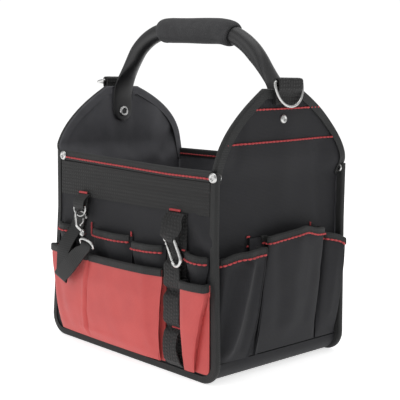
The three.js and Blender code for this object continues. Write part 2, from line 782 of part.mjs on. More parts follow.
// Half of it, from the middle of the grip down to one tab.
function handleSide(side) {
  const tabX = archX(side) - END_PANEL - GAP - TAB.thickness / 2;
  const line = [{ x: 0, z: HANDLE_TOP }, { x: HANDLE_STRAIGHT[nameOf(side)], z: HANDLE_TOP }];
  const bend = ({ radius, from, to }, steps) => {
    const start = line[line.length - 1];
    for (let i = 1; i <= steps; i++) {
      const angle = lerp(from, to, i / steps) * RAD;
      const x = start.x + radius * (Math.sin(angle) - Math.sin(from * RAD));
      const z = start.z - radius * (Math.cos(from * RAD) - Math.cos(angle));
      line.push({ x, z });
    }
  };
  bend(BEND_UPPER, 5);
  const knee = line[line.length - 1];
  const turn = BEND_LOWER.from * RAD;
  const bendX = tabX - BEND_LOWER.radius * (1 - Math.sin(turn));
  line.push({ x: bendX, z: knee.z - (bendX - knee.x) * Math.tan(turn) });
  bend(BEND_LOWER, 4);
  for (const z of [242, 231, 226, 223, TAB.bottom]) {
    line.push({ x: tabX, z });
  }
  return line.map(({ x, z }) => ({ x: side * x, z }));
}

// The slant fades out before the tabs.
function handleSlant(x, z) {
  return HANDLE_SLANT * x * clamp01((z - 262) / 30);
}

// Round at the top, pressed flat over the last bend, and rounded off at the foot of the tab.
function tubeHalf(z) {
  const ease = smooth(clamp01((292 - z) / 34));
  const foot = clamp01((TAB.bottom + 11 - z) / 11);
  const across = lerp(TUBE, TAB.half, ease) * Math.sqrt(1 - 0.85 * foot * foot);
  return [lerp(TUBE, TAB.thickness / 2, ease), across];
}

function handleTube() {
  const line = handleLine();
  return sweep(line, vec(0, 1, 0), (i) => tubeHalf(line[i].z), 14, false);
}

// The foam sleeve: a soft-ended tube round the top of the handle.
function handleGrip() {
  const place = (s) => {
    const level = HANDLE_STRAIGHT[nameOf(s)];
    const turn = Math.max(0, Math.abs(s) - level) / BEND_UPPER.radius;
    const straight = Math.min(Math.abs(s), level);
    const x = Math.sign(s) * (straight + BEND_UPPER.radius * Math.sin(turn));
    const z = HANDLE_TOP - BEND_UPPER.radius * (1 - Math.cos(turn));
    return vec(x, 0, z - handleSlant(x, z));
  };
  const end = (half) => [
    { s: 0.6 * half, r: GRIP.radius },
    { s: half - 10, r: GRIP.radius },
    { s: half - 2.5, r: GRIP.radius - 0.5 },
    { s: half, r: GRIP.end },
  ];
  const mirrored = end(GRIP.left).map(({ s, r }) => ({ s: -s, r }));
  const stations = [...mirrored.reverse(), { s: 0, r: GRIP.radius }, ...end(GRIP.right)];
  const line = stations.map(({ s }) => place(s));
  const outside = sweep(line, vec(0, 1, 0), (i) => [stations[i].r, stations[i].r], 14, false);
  const past = 4; // the bore runs on past both ends
  const hole = [place(-GRIP.left - past), ...line.slice(1, -1), place(GRIP.right + past)];
  const bore = sweep(hole, vec(0, 1, 0), () => [GRIP.bore, GRIP.bore], 14, false);
  return drill(outside, [bore]);
}

// Rivets have a domed head outside, a plain shank, and a flat collar inside. Heights run from
// the outer face inward, and grip is the thickness held.
function rivet(head, shank, grip, origin, inward) {
  const profile = [
    [0, -2.2],
    [head * 0.55, -1.9],
    [head, -0.7],
    [head, -GAP],
    [shank, -GAP],
    [shank, grip + GAP],
    [head * 0.9, grip + GAP],
    [head * 0.9, grip + 1.4],
    [0, grip + 1.8],
  ];
  return turned(profile, 12, origin, inward);
}

function rivetHole(radius, origin, inward) {
  return turned([[0, -12], [radius, -12], [radius, 12], [0, 12]], 12, origin, inward);
}

function cornerOrigin({ x, z, facing }) {
  return vec(x, facing * (FRONT_DEPTH + TAPE_INSET), z);
}

function cornerRivet(corner) {
  const held = PANEL + 2 * TAPE_INSET;
  return rivet(3.3, 1.8, held, cornerOrigin(corner), vec(0, -corner.facing, 0));
}

function cornerHoles(facing) {
  const corners = CORNER_RIVETS.filter((corner) => corner.facing === facing);
  return corners.map((corner) => rivetHole(2.1, cornerOrigin(corner), vec(0, -facing, 0)));
}

function handleRivet(side) {
  const held = END_PANEL + GAP + TAB.thickness;
  return rivet(4.6, 2.2, held, vec(side * archX(side), 0, HANDLE_RIVET_Z), vec(-side, 0, 0));
}

function handleHole(side) {
  return rivetHole(2.5, vec(side * archX(side), 0, HANDLE_RIVET_Z), vec(-side, 0, 0));
}

// The ribbon tab that holds the small D-ring: down, round the bar and up again.
function tapeTab() {
  const reach = TAB_RING.wire + 0.5 + RIBBON.thickness / 2;
  const rows = [
    { d: 2.4, z: 152 },
    { d: TAB_RING.depth - reach, z: 145 },
  ];
  for (const angle of [180, 225, 270, 315, 0]) {
    const d = TAB_RING.depth + reach * Math.cos(angle * RAD);
    rows.push({ d, z: TAB_RING.z + reach * Math.sin(angle * RAD) });
  }
  rows.push({ d: TAB_RING.depth + reach - 0.6, z: 145 }, { d: 2.4 + RIBBON.thickness + GAP, z: 152 });
  const grid = rows.map(({ d, z }) => [-8.2, 8.2].map((x) => frontPoint(TAB_RING.x + x, z, d)));
  return thicken(grid, RIBBON.thickness);
}

function tapeDRing() {
  const bar = frontPoint(TAB_RING.x, TAB_RING.z, TAB_RING.depth);
  return dRing(bar, vec(1, 0, 0), vec(0, 0, -1), TAB_RING.half, TAB_RING.drop, TAB_RING.wire);
}

// The snap hook's own plane: its length leans out over the pockets, and its width is turned
// out from the front. Its bow hangs on the small D-ring.
function hookPlane() {
  const up = vec(-18.4, 10.6, 17.7).normalize();
  const right = vec(0.45, 1, 0);
  right.addScaledVector(up, -right.dot(up)).normalize();
  const held = frontPoint(TAB_RING.x, TAB_RING.z, TAB_RING.depth);
  const origin = held.add(vec(HOOK.aside, 0, -TAB_RING.drop)).addScaledVector(up, HOOK.raise);
  const place = ([u, v]) => origin.clone().addScaledVector(right, u).addScaledVector(up, v);
  return { place, up, right, normal: right.clone().cross(up).normalize() };
}

function snapHook() {
  const { place, up, normal } = hookPlane();
  const r = HOOK.radius;
  const foot = HOOK.foot;
  const line = [[0, foot + 3.5], [-1.2, foot + 7], [-r, -13], [-r, -4], [-r, 0]];
  for (const angle of [150, 120, 90, 60, 30, 0]) {
    line.push([r * Math.cos(angle * RAD), r * Math.sin(angle * RAD)]);
  }
  line.push([r, -4.6]);
  const bar = wire(line.map(place), normal, HOOK.wire, 8, false);
  const profile = [[0, 0], [1, 0], [1.6, 1], [2.9, 2.8], [2.9, 4], [2.3, 5.6], [2, 7], [0, 7.2]];
  const barrel = turned(profile, 10, place([0, foot]), up);
  return join(bar, barrel);
}

const HOOK_GATE_PIVOT = [-1.6, -13.4];

// The gate closes against the inside of the hook's nose.
function snapHookGate() {
  const { place, normal } = hookPlane();
  const r = HOOK.radius;
  const line = [[r - 3.1, -4.4], [r - 3.2, -7], [1, -10.6], HOOK_GATE_PIVOT];
  const half = [1.2, 1.2, 1.2, 0.9];
  return sweep(line.map(place), normal, (i) => [half[i], half[i]], 8, false);
}

// The swivel eye under the hook: bar below, bow to the hook.
function eyeBar() {
  const { place } = hookPlane();
  const top = place([0, HOOK.foot - EYE.below]).addScaledVector(EYE_ACROSS, EYE.aside);
  return top.addScaledVector(EYE_UP, -EYE.drop);
}

function snapHookEye() {
  return dRing(eyeBar(), EYE_ACROSS, EYE_UP, EYE.half, EYE.drop, EYE.wire);
}

// The ribbon: sewn on under the tab, hanging over the pockets, folded and brought up to the eye.
// tip is the fall of its right edge below its left one.
function tapeStrap() {
  const bar = eyeBar();
  const wrap = EYE.wire + 0.6 + RIBBON.thickness / 2;
  const hanging = [
    { x: -70, z: 148, y: -86.9, tip: 0, half: RIBBON.half },
    { x: -72, z: 134, y: -87.4, tip: 2, half: RIBBON.half },
    { x: -74.4, z: 123, y: -88.6, tip: 3, half: RIBBON.half },
    { x: -77, z: 113, y: -93.6, tip: 3, half: RIBBON.half },
    { x: -79, z: 103, y: -100, tip: 4, half: RIBBON.half },
    { x: -80.6, z: 93, y: -103.6, tip: 4, half: RIBBON.half },
    { x: -81.4, z: 76, y: -104.2, tip: 5, half: RIBBON.half },
    { x: -80.6, z: 66.4, y: -106, tip: 6, half: RIBBON.half },
    { x: -77.6, z: 69.5, y: -109.4, tip: 7, half: RIBBON.half },
    { x: -62.4, z: 82.4, y: -110, tip: 10, half: RIBBON.half },
    { x: bar.x - 7, z: bar.z - 6, y: bar.y - wrap - 1, tip: 6, half: 8.6 },
  ];
  const round = [180, 135, 90, 45, 0].map((angle) => ({
    x: bar.x,
    z: bar.z + wrap * Math.sin(angle * RAD),
    y: bar.y + wrap * Math.cos(angle * RAD),
    tip: 1.9,
    half: 7.8,
  }));
  const end = { x: bar.x - 2, z: bar.z - 3, y: bar.y + wrap, tip: 1.9, half: 7.8 };
  const grid = [...hanging, ...round, end].map(({ x, y, z, tip, half }) => {
    const level = Math.sqrt(half ** 2 - (tip / 2) ** 2);
    return [-1, 1].map((t) => vec(x + t * level, y, z - (t * tip) / 2));
  });
  return thicken(grid, RIBBON.thickness);
}

const bag = new THREE.Group();
bag.name = "tool_bag";

const COLOURS = {
  cloth: 0x35363a,
  tape: 0x3a3b3d,
  red: 0xc23a40,
  foam: 0x4a4a4c,
  tube: 0x1d1d1f,
  metal: 0xc8cacd,
};

function add(name, geometry, colour) {
  const material = new THREE.MeshStandardMaterial({ color: COLOURS[colour] });
  if (colour === "metal") {
    material.metalness = 1;
    material.roughness = 0.3;
  }
  const mesh = new THREE.Mesh(geometry, material);
  mesh.name = name;
  bag.add(mesh);
}

for (const [name, facing, place] of [["front", -1, frontPoint], ["back", 1, backPoint]]) {
  const holes = cornerHoles(facing);
  add(`${name}_panel`, drill(panel(place, facing), holes), "cloth");
  add(`${name}_seam_binding`, drill(seamBinding(facing), holes), "tape");
  add(`${name}_top_binding`, drill(topBinding(facing), holes), "tape");
}
add("base_panel", basePanel(), "cloth");
const bandZs = [BAND.bottom, 165, BAND.top];
add("front_band", flatStrip(frontPoint, bandXs(), bandZs, GAP, BAND.thickness), "tape");

// A red pocket's binding covers only some of its columns: the folds at its sides are left bare.
function addRedPocket(name, { profile, rows }, first, last) {
  add(name, pocket(frontPoint, profile, rows), "red");
  add(`${name}_binding`, pocketBinding(frontPoint, profile.slice(first, last), rows), "tape");
}

addRedPocket("red_pocket_large", RED_LARGE, 0, 7);
addRedPocket("red_pocket_small", RED_SMALL, 2, 5);
for (const span of MID_SPANS) {
  add(`mid_pocket_${span.name}`, pocket(frontPoint, midProfile(span), MID_ROWS), "cloth");
  add(`mid_pocket_binding_${span.name}`, pocketBinding(frontPoint, midProfile(span), MID_ROWS), "tape");
}

const strapXs = [-1, 1].map((t) => STRAP.x + t * STRAP.half);
const strapZs = [STRAP.bottom, 45, 78, 107, STRAP.top];
add("strap_backing", flatStrip(frontPoint, strapXs, strapZs, GAP, STRAP.thickness - 0.2), "tape");
add("strap_loops", strapLoops(), "tape");
add("carabiner", carabiner(), "metal");
add("carabiner_gate", carabinerGate(), "metal");
add("tape_tab", tapeTab(), "tape");
add("tape_d_ring", tapeDRing(), "metal");
add("snap_hook", snapHook(), "metal");
add("snap_hook_gate", snapHookGate(), "metal");
add("snap_hook_eye", snapHookEye(), "metal");
add("tape_strap", tapeStrap(), "tape");

for (const [name, side] of [["right", 1], ["left", -1]]) {
  add(`end_panel_${name}`, drill(endPanel(side), [handleHole(side)]), "cloth");
  add(`arch_binding_${name}`, archBinding(side), "tape");
  const face = endPoint(side);
  for (const [place, { profile, rows }] of [["low", END_LOW], ["mid", END_MID], ["back", END_BACK]]) {
    add(`end_pocket_${name}_${place}`, pocket(face, profile, rows), "cloth");
    add(`end_pocket_${name}_${place}_binding`, pocketBinding(face, profile, rows), "tape");
  }
  add(`d_ring_loop_${name}`, ringLoop(side), "tape");
  add(`d_ring_${name}`, endRing(side, RING_LIFT[name]), "metal");
  add(`handle_rivet_${name}`, handleRivet(side), "metal");
}
for (const corner of CORNER_RIVETS) {
  add(`corner_rivet_${corner.name}`, cornerRivet(corner), "metal");
}

add("handle_tube", drill(handleTube(), [handleHole(-1), handleHole(1)]), "tube");
add("handle_grip", handleGrip(), "foam");

export default bag;
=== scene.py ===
"""An open-topped tool bag: cloth shell, folded bindings, pockets, webbing, clips and a tube handle."""

import math

import bpy
import numpy as np
from mathutils import Matrix, Vector


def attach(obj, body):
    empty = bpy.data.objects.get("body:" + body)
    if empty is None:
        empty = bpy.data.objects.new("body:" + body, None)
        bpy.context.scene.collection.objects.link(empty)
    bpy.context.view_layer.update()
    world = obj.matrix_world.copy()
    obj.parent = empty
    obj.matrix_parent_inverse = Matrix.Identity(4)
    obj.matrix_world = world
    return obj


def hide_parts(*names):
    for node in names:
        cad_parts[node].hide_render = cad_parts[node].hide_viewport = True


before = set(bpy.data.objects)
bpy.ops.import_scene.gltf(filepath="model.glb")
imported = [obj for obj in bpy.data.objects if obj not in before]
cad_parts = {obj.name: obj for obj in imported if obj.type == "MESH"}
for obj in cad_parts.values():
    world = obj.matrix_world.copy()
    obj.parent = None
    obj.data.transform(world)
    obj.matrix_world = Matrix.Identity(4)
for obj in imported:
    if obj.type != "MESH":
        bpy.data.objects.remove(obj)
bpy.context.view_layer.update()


def table(columns, *rows):
    """Rows with their columns by name. A short row leaves out its last columns."""
    return [dict(zip(columns.split(), row)) for row in rows]


# Sizes are in millimetres. +X runs along the front, the front faces -Y, the base stands on z = 0.
MM = 0.001
HALF_WIDTH = 125  # front panel's bound edge at the bottom
# How far each side is drawn in at its front and back corner, in full at PINCH_TOP and above.
PINCH = {"right": {"front": 4, "back": 2.4}, "left": {"front": 10, "back": 0}}
PINCH_TOP = 135
FLARE = {"right": 0, "left": 4}  # how far an arch leans out
# An arch's back foot is drawn out over the panel's corner, by this much over these y and z.
BACK_FOOT = {"right": 4.4, "left": 0, "y": (48, 82), "rise": (177, 192), "fall": (192, 236)}
FREE_Z = (176, 200)  # an end panel leaves the sides of the front and back over this height
FRONT_DEPTH = 85.5
FRONT_TOP = 188
CORNER = 20
PANEL = 3
END_X = 117  # an end panel's outer face
END_PANEL = 2.5
END_HALF = 80.4  # half an end panel's width
BASE_TURN = 18  # the base is turned up to this height
BASE_CORNER = 16
FRONT_BULGE = {"depth": 2, "half": HALF_WIDTH - 12, "z": (10, 170)}
END_BULGE = {"depth": 2.5, "half": 72, "z": (20, 220)}
END_LOOSE = {"depth": 0.6, "half": 80, "z": (130, 245)}  # where an end's cloth waves
PANEL_GRID = {"step": 3.5, "columns": 60}
ARCH_TOP = 258
ARCH_FOOT = 188.6
ARCH = {
    "right": {
        "front": {"flat": 26, "bend_y": 81, "bend_z": 221, "foot": 84},
        "back": {"flat": 24, "bend_y": 83.5, "bend_z": 227, "foot": 86.6},
    },
    "left": {
        "front": {"flat": 20, "bend_y": 80, "bend_z": 224, "foot": 84.5},
        "back": {"flat": 22, "bend_y": 89, "bend_z": 232, "foot": 86.4},
    },
}
GAP = 0.3  # between pieces that lie on each other
TAPE = 1  # the binding tape's thickness
TAPE_LEG = 9
SEAM_LEG = 7
TAPE_FOLD = 2.4  # the fold's largest radius
TAPE_EVEN = 3  # the tape lies even over this much below its fold
TOP_STITCHES = 6.4  # below the fold of the top edge's tape
TAPE_INSET = TAPE + GAP
PANEL_INSET = 3  # a panel's edge lies this far inside its rounded tape
TOP_LIFT = {"height": 5.2, "x": (60, -115), "z": (150, 188)}
ARCH_TAIL = 12  # the arch's tape runs this far down behind the panels
BASE_PROUD = 1.2
BASE_PROUD_Z = (3, 12)
CLOTH = 1.4  # a pocket's wall
POCKET_LEG = 7
FOLD_STAND = 0.6  # a pocket's folds are at full depth where its wall stands off by this share,
FOLD_FOOT = 12  # and this far above its foot
BAND = {"bottom": 149, "top": 178.4, "left": -106, "right": 113.4, "thickness": 1.2}
BAND_CHECK = {"size": 3.2, "relief": 0.18}
POCKET_FOOT = 9.4
END_POCKET_FOOT = 19.3
STRAP = {"x": 73.2, "half": 12.7, "thickness": 1.6, "top": 148.4, "bottom": 9.6}
LOOP = {"x": 74, "half": 10.4}
RING_WEB = {"half": 15.6, "thickness": 1.8, "foot": 244, "sewn": 251, "bend": 253, "over": 259}
RIBBON = {"half": 9.4, "thickness": 1}
RIBBON_END = {"tip": 1.9, "half": 7.8}  # where it is gathered round the eye
WRAP_ROOM = 0.6  # between a wire and the ribbon round it
HANDLE_TOP = 313
HANDLE_STRAIGHT = {"right": 30, "left": 36}
HANDLE_SLANT = 0.04
BEND_UPPER = {"radius": 75, "from": 0, "to": 52}
BEND_LOWER = {"radius": 40, "from": 52, "to": 90}
TUBE = 8.5
PRESSED_Z = (292, 258)  # the tube is pressed flat over this height
SLANT_Z = (262, 292)
TAB = {"half": 12.4, "thickness": 3.6, "bottom": 221, "round": 11}
GRIP = {"left": 49, "right": 53, "radius": 12.4, "end": 10.4, "bore": 8.8}
# The grip's end, inward from the end and back into its bore.
GRIP_TIP = table(
    "along radius",
    (10, GRIP["radius"]),
    (5, GRIP["radius"] - 0.1),
    (2.5, GRIP["radius"] - 0.5),
    (0.8, GRIP["radius"] - 1.2),
    (0, GRIP["end"]),
    (-0.2, GRIP["end"] - 0.8),
    (0, GRIP["bore"]),
)
HANDLE_RIVET_Z = 231
HANDLE_RIVET = {"head": 4.2, "shank": 2.2, "collar": 5.6}
# Sizes by the way that a rivet faces: -1 on the front, 1 on the back.
CORNER_RIVET = {
    -1: {"head": 4.6, "shank": 1.8, "collar": 3.4},
    1: {"head": 3.3, "shank": 1.8, "collar": 4.2},
}
# A rivet's head and its rolled collar: shares of their radius, and heights along the shank.
RIVET_DOME = table(
    "share height",
    (0.3, -0.9),
    (0.4, -1.7),
    (0.58, -2.2),
    (0.8, -1.9),
    (0.95, -1.2),
    (1, -0.6),
    (1, -GAP),
)
RIVET_ROLL = table(
    "share height",
    (1, GAP),
    (1, 0.8),
    (0.88, 1.5),
    (0.66, 1.6),
    (0.52, 1.1),
    (0.48, 0.5),
)
CORNER_RIVETS = table(
    "name facing x z",
    ("front_right", -1, 117.4, 182.6),
    ("front_left", -1, -102.4, 183),
    ("back_right", 1, 117.4, 182.6),
    ("back_left", 1, -121.4, 182.6),
)
RING = {"z": 264, "half": 18, "drop": 22, "wire": 1.35, "room": 2.3}  # room: the loop's inner radius
RING_SIDE = 1.6  # straight side between a ring's corner and its bow
RING_LIFT = {"right": 9, "left": 82}
CARABINER = {"x": 77.1, "z": 118.8, "depth": 10.4, "half": 5.7, "straight": 12, "wire": 1.6}
CARABINER_LEAN = 35
CARABINER_SLOPE = 5
GATE = {"low": -10.2, "high": 9, "wire": 1.4, "room": 1.4}
# The gate's radius at places measured from its low and high end.
GATE_ROWS = table(
    "end away radius",
    ("low", 0, 0.9),
    ("low", 0.4, 1.25),
    ("low", 1.2, GATE["wire"]),
    ("high", -3.6, GATE["wire"]),
    ("high", -3.2, 1.1),
    ("high", -2.6, GATE["wire"]),
    ("high", -1.7, GATE["wire"]),
    ("high", -0.7, 1.1),
    ("high", 0, 0.5),
)
TAB_RING = {"x": -63.2, "z": 140.5, "depth": 9, "half": 9.4, "drop": 9.8, "wire": 0.9}
TAPE_TAB = {"half": 8.2, "top": 152, "bend": 145, "depth": 2.4}
HOOK = {"wire": 1.2, "radius": 5.3, "foot": -27.6, "aside": 1.8, "raise": 1.2}
# The swivel at the hook's foot, from below.
SWIVEL = table(
    "radius height",
    (0.2, 0),
    (1, 0.1),
    (1.6, 1),
    (2.8, 2.6),
    (2.9, 3),
    (2.9, 4),
    (2.5, 4.2),
    (2.5, 4.7),
    (2.3, 5.6),
    (2, 7),
    (0.2, 7.2),
)
HOOK_UP = (-18.4, 10.6, 17.7)  # from the hook's foot to its bow
HOOK_GATE_PIVOT = (-1.6, -13.4)  # across and up in the hook's plane
EYE = {"half": 10, "drop": 7.4, "wire": 1.2, "aside": 3.2, "below": 3.1}
SIDES = {"right": 1, "left": -1}

# Sewing thread.
THREAD = 0.92
STITCH = 4.2
STITCH_GAP = 0.25
TACK = {"pitch": 0.8, "lean": 0.35, "thread": 0.5}


def lerp(a, b, t):
    return a + (b - a) * t


def smooth(t):
    return t * t * (3 - 2 * t)


def ramp(value, start, end):
    """How far a value is from start to end, kept between 0 and 1."""
    return np.clip((value - start) / (end - start), 0, 1)


def unit(v):
    v = np.asarray(v, float)
    return v / np.linalg.norm(v, axis=-1, keepdims=True)


def point(x, y, z):
    return np.stack(np.broadcast_arrays(x, y, z), axis=-1).astype(float)


def name_of(side):
    return "right" if side > 0 else "left"


def ripple(u, v):
    """A soft uneven wave from -1 to 1, the same each run."""
    waves = np.sin(1.7 * u + 0.6 * v + 0.4) + np.sin(0.7 * u - 1.9 * v + 2.1)
    waves = waves + np.sin(2.9 * u + 1.3 * v + 4.0) + np.sin(-1.1 * u + 3.1 * v + 1.2)
    return waves / 4


def pchip(keys, values, at):
    """Values between the keys, on a smooth curve that doesn't overshoot them."""
    keys = np.asarray(keys, float)
    values = np.asarray(values, float)
    gap = np.diff(keys)
    slope = np.diff(values) / gap
    bend = np.zeros(len(keys))
    bend[0] = slope[0]
    bend[-1] = slope[-1]
    for i in range(1, len(keys) - 1):
        if slope[i - 1] * slope[i] > 0:
            after = 2 * gap[i] + gap[i - 1]
            before = gap[i] + 2 * gap[i - 1]
            bend[i] = (after + before) / (after / slope[i - 1] + before / slope[i])
    at = np.asarray(at, float)
    i = np.clip(np.searchsorted(keys, at, side="right") - 1, 0, len(gap) - 1)
    t = (at - keys[i]) / gap[i]
    start = values[i] * (1 + 2 * t) + gap[i] * bend[i] * t
    end = values[i + 1] * (3 - 2 * t) + gap[i] * bend[i + 1] * (t - 1)
    return start * (1 - t) ** 2 + end * t**2


def lengths(line):
    """How far along a line each of its points is."""
    steps = np.linalg.norm(np.diff(line, axis=0), axis=1)
    return np.concatenate([[0], np.cumsum(steps)])


def resample(line, step):
    """A smooth line through the points, with about one point each step."""
    line = np.asarray(line, float)
    along = lengths(line)
    at = np.linspace(0, along[-1], max(3, math.ceil(along[-1] / step) + 1))
    return np.stack([pchip(along, line[:, k], at) for k in range(line.shape[1])], axis=1)


def arc(centre, radius, start, end, steps):
    angles = np.radians(np.linspace(start, end, steps))
    return [(centre[0] + radius * math.cos(a), centre[1] + radius * math.sin(a)) for a in angles]


# Camera, at the photograph's place.
CAMERA = {"azimuth": 46.964, "elevation": 7.331, "roll": 0.649, "lens": 82.935}
CAMERA_PLACE = (0.67598, -0.62338, 0.26367)


def add_camera():
    azimuth = math.radians(CAMERA["azimuth"])
    elevation = math.radians(CAMERA["elevation"])
    roll = math.radians(CAMERA["roll"])
    level = math.cos(elevation)
    back = Vector((math.sin(azimuth) * level, -math.cos(azimuth) * level, math.sin(elevation)))
    right = Vector((math.cos(azimuth), math.sin(azimuth), 0))
    up = back.cross(right)
    turned_right = right * math.cos(roll) + up * math.sin(roll)
    turned_up = up * math.cos(roll) - right * math.sin(roll)
    data = bpy.data.cameras.new("camera")
    data.lens = CAMERA["lens"]
    data.sensor_width = 36
    camera = bpy.data.objects.new("camera", data)
    rotation = Matrix((turned_right, turned_up, back)).transposed().to_4x4()
    camera.matrix_world = Matrix.Translation(CAMERA_PLACE) @ rotation
    bpy.context.scene.collection.objects.link(camera)
    bpy.context.scene.camera = camera


add_camera()


# Materials: one node tree each, with the weave read from a map in metres.
def tree_of(name):
    material = bpy.data.materials.new(name)
    material.use_nodes = True
    return material, material.node_tree


def add_node(tree, kind, **values):
    node = tree.nodes.new(kind)
    for key, value in values.items():
        socket = node.inputs.get(key.replace("_", " "))
        if socket is not None:
            socket.default_value = value
        else:
            setattr(node, key, value)
    return node


def wave(tree, source, direction, pitch):
    """Even bands across one direction of the map, pitch metres apart."""
    bands = add_node(tree, "ShaderNodeTexWave", bands_direction=direction, Distortion=0.25, Detail=1)
    bands.inputs["Scale"].default_value = math.tau / 20 / pitch
    tree.links.new(source, bands.inputs["Vector"])
    return bands.outputs["Fac"]


def math_node(tree, operation, a, b):
    node = add_node(tree, "ShaderNodeMath", operation=operation)
    for socket, value in zip(node.inputs, (a, b)):
        if isinstance(value, (int, float)):
            socket.default_value = value
        else:
            tree.links.new(value, socket)
    return node.outputs[0]


def add_share(tree, base, part, share):
    """A base with a share of another value added."""
    return math_node(tree, "ADD", base, math_node(tree, "MULTIPLY", part, share))


def spread(tree, source, low, high):
    """A value from 0 to 1 brought between two limits."""
    node = add_node(tree, "ShaderNodeMapRange", To_Min=low, To_Max=high)
    tree.links.new(source, node.inputs["Value"])
    return node.outputs["Result"]


def mix_colours(tree, factor, first, second):
    node = add_node(tree, "ShaderNodeMix", data_type="RGBA")
    node.inputs[6].default_value = (*first, 1)
    node.inputs[7].default_value = (*second, 1)
    tree.links.new(factor, node.inputs[0])
    return node.outputs[2]


def noise(tree, source, scale, detail):
    node = add_node(tree, "ShaderNodeTexNoise", Scale=scale, Detail=detail)
    tree.links.new(source, node.inputs["Vector"])
    return node.outputs["Fac"]


def dress(tree, tone, colours, wear, rough, relief, strength, height):
    """Colour by tone, roughness by wear, and bump by relief."""
    shader = tree.nodes["Principled BSDF"]
    tree.links.new(mix_colours(tree, tone, *colours), shader.inputs["Base Color"])
    tree.links.new(spread(tree, wear, *rough), shader.inputs["Roughness"])
    node = add_node(tree, "ShaderNodeBump", Strength=strength, Distance=height)
    tree.links.new(relief, node.inputs["Height"])
    tree.links.new(node.outputs["Normal"], shader.inputs["Normal"])


def set_shader(tree, **values):
    for key, value in values.items():
        tree.nodes["Principled BSDF"].inputs[key.replace("_", " ")].default_value = value


def blank(name):
    """A new material, its nodes, and the place on the object that its textures read."""
    material, tree = tree_of(name)
    return material, tree, add_node(tree, "ShaderNodeTexCoord").outputs["Object"]


def woven(name, dark, light, warp, weft, height, rough, specular, sheen, sheen_rough=0.5):
    """Cloth: crossing threads as bump, uneven colour and wear in soft patches."""
    material, tree, place = blank(name)
    set_shader(tree, Specular_IOR_Level=specular, Sheen_Weight=sheen, Sheen_Roughness=sheen_rough)
    weave = add_node(tree, "ShaderNodeUVMap", uv_map="weave").outputs["UV"]
    threads = math_node(tree, "MULTIPLY", wave(tree, weave, "X", warp), wave(tree, weave, "Y", weft))
    patches = noise(tree, place, 55, 5)
    fibres = noise(tree, place, 900, 2)
    tone = -0.22
    # The threads go into the colour too: the low places between them are darker, painted shade.
    for part, share in ((patches, 0.75), (threads, 0.45), (fibres, 0.3)):
        tone = add_share(tree, tone, part, share)
    relief = add_share(tree, threads, fibres, 0.35)
    dress(tree, tone, (dark, light), patches, (rough - 0.1, rough + 0.1), relief, 0.55, height)
    return material


def metal(name, colour, rough):
    """Plated wire: bright, with faint drawn lines and dull spots."""
    material, tree, place = blank(name)
    set_shader(tree, Metallic=1)
    spots = noise(tree, place, 240, 4)
    lines = noise(tree, place, 2600, 2)
    dull = tuple(0.72 * c for c in colour)
    dress(tree, spots, (colour, dull), spots, (rough - 0.07, rough + 0.16), lines, 0.12, 0.00005)
    return material


def painted(name, colour, worn, rough):
    """Satin paint on the tube, with a fine orange-peel and rubbed patches."""
    material, tree, place = blank(name)
    set_shader(tree, Coat_Weight=0.15, Coat_Roughness=0.3)
    rubbed = noise(tree, place, 70, 6)
    peel = noise(tree, place, 700, 2)
    dress(tree, rubbed, (colour, worn), rubbed, (rough - 0.08, rough + 0.12), peel, 0.15, 0.0001)
    return material


def foamed(name, dark, light):
    """Closed-cell foam: small pits and a dry skin."""
    material, tree, place = blank(name)
    set_shader(tree, Specular_IOR_Level=0.3, Sheen_Weight=0.08)
    cells = add_node(tree, "ShaderNodeTexVoronoi", Scale=1100)
    tree.links.new(place, cells.inputs["Vector"])
    pits = cells.outputs["Distance"]
    skin = noise(tree, place, 90, 5)
    # The colour is darker in the pits that the bump sinks: painted shade.
    tone = math_node(tree, "MULTIPLY", math_node(tree, "MULTIPLY", skin, pits), 2.6)
    dress(tree, tone, (dark, light), skin, (0.78, 0.95), pits, 0.35, 0.0003)
    return material


SLOTS = {"lining_with_painted_light": "cloth", "thread": "red_cloth"}  # any other finish is a slot by its own name
FINISHES = {
    "cloth": woven(
        "black_cloth", (0.0085, 0.0085, 0.01), (0.0225, 0.0225, 0.026),
        warp=0.0012, weft=0.0012, height=0.0002, rough=0.72, specular=0.32, sheen=0.03,
    ),
    # Inside faces: the lining's own dark grey, lightened further as painted light so that the less lit
    # inside reads bright.
    "lining_with_painted_light": woven(
        "grey_lining_with_painted_light", (0.058, 0.058, 0.064), (0.132, 0.132, 0.144),
        warp=0.0012, weft=0.0012, height=0.0002, rough=0.72, specular=0.32, sheen=0.03,
    ),
    "binding": woven(
        "black_tape", (0.01, 0.0105, 0.0105), (0.032, 0.0325, 0.0325),
        warp=0.0015, weft=0.0022, height=0.0004, rough=0.7, specular=0.36, sheen=0.05,
    ),
    "webbing": woven(
        "black_webbing", (0.006, 0.006, 0.006), (0.03, 0.03, 0.03), sheen_rough=0.45,
        warp=0.0034, weft=0.0034, height=0.0008, rough=0.7, specular=0.38, sheen=0.05,
    ),
    "red_cloth": woven(
        "red_cloth", (0.47, 0.055, 0.054), (0.62, 0.103, 0.093),
        warp=0.0011, weft=0.0011, height=0.00015, rough=0.6, specular=0.42, sheen=0.06,
    ),
    "thread": woven(
        "red_thread", (0.4, 0.03, 0.04), (0.62, 0.085, 0.085), sheen_rough=0.4,
        warp=0.0006, weft=0.0006, height=0.0002, rough=0.55, specular=0.4, sheen=0.05,
    ),
    "metal": metal("nickel", (0.66, 0.66, 0.65), rough=0.24),
    "tube": painted("satin_black", (0.005, 0.005, 0.006), (0.011, 0.011, 0.012), rough=0.46),
    "foam": foamed("grip_foam", (0.022, 0.022, 0.0235), (0.054, 0.054, 0.056)),
}


# Mesh building. A shape is its points, its faces and its map for the weave.
def grid_faces(rows, cols, start, flip):
    r, c = np.meshgrid(np.arange(rows - 1), np.arange(cols - 1), indexing="ij")
    a = (start + r * cols + c).ravel()
    quads = np.stack([a, a + 1, a + cols + 1, a + cols], axis=1)
    return quads[:, ::-1] if flip else quads


def rim_faces(line, offset):
    """Faces between an edge line of the outer grid and the same line of the inner one."""
    a, b = line[:-1], line[1:]
    return np.stack([a, a + offset, b + offset, b], axis=1)


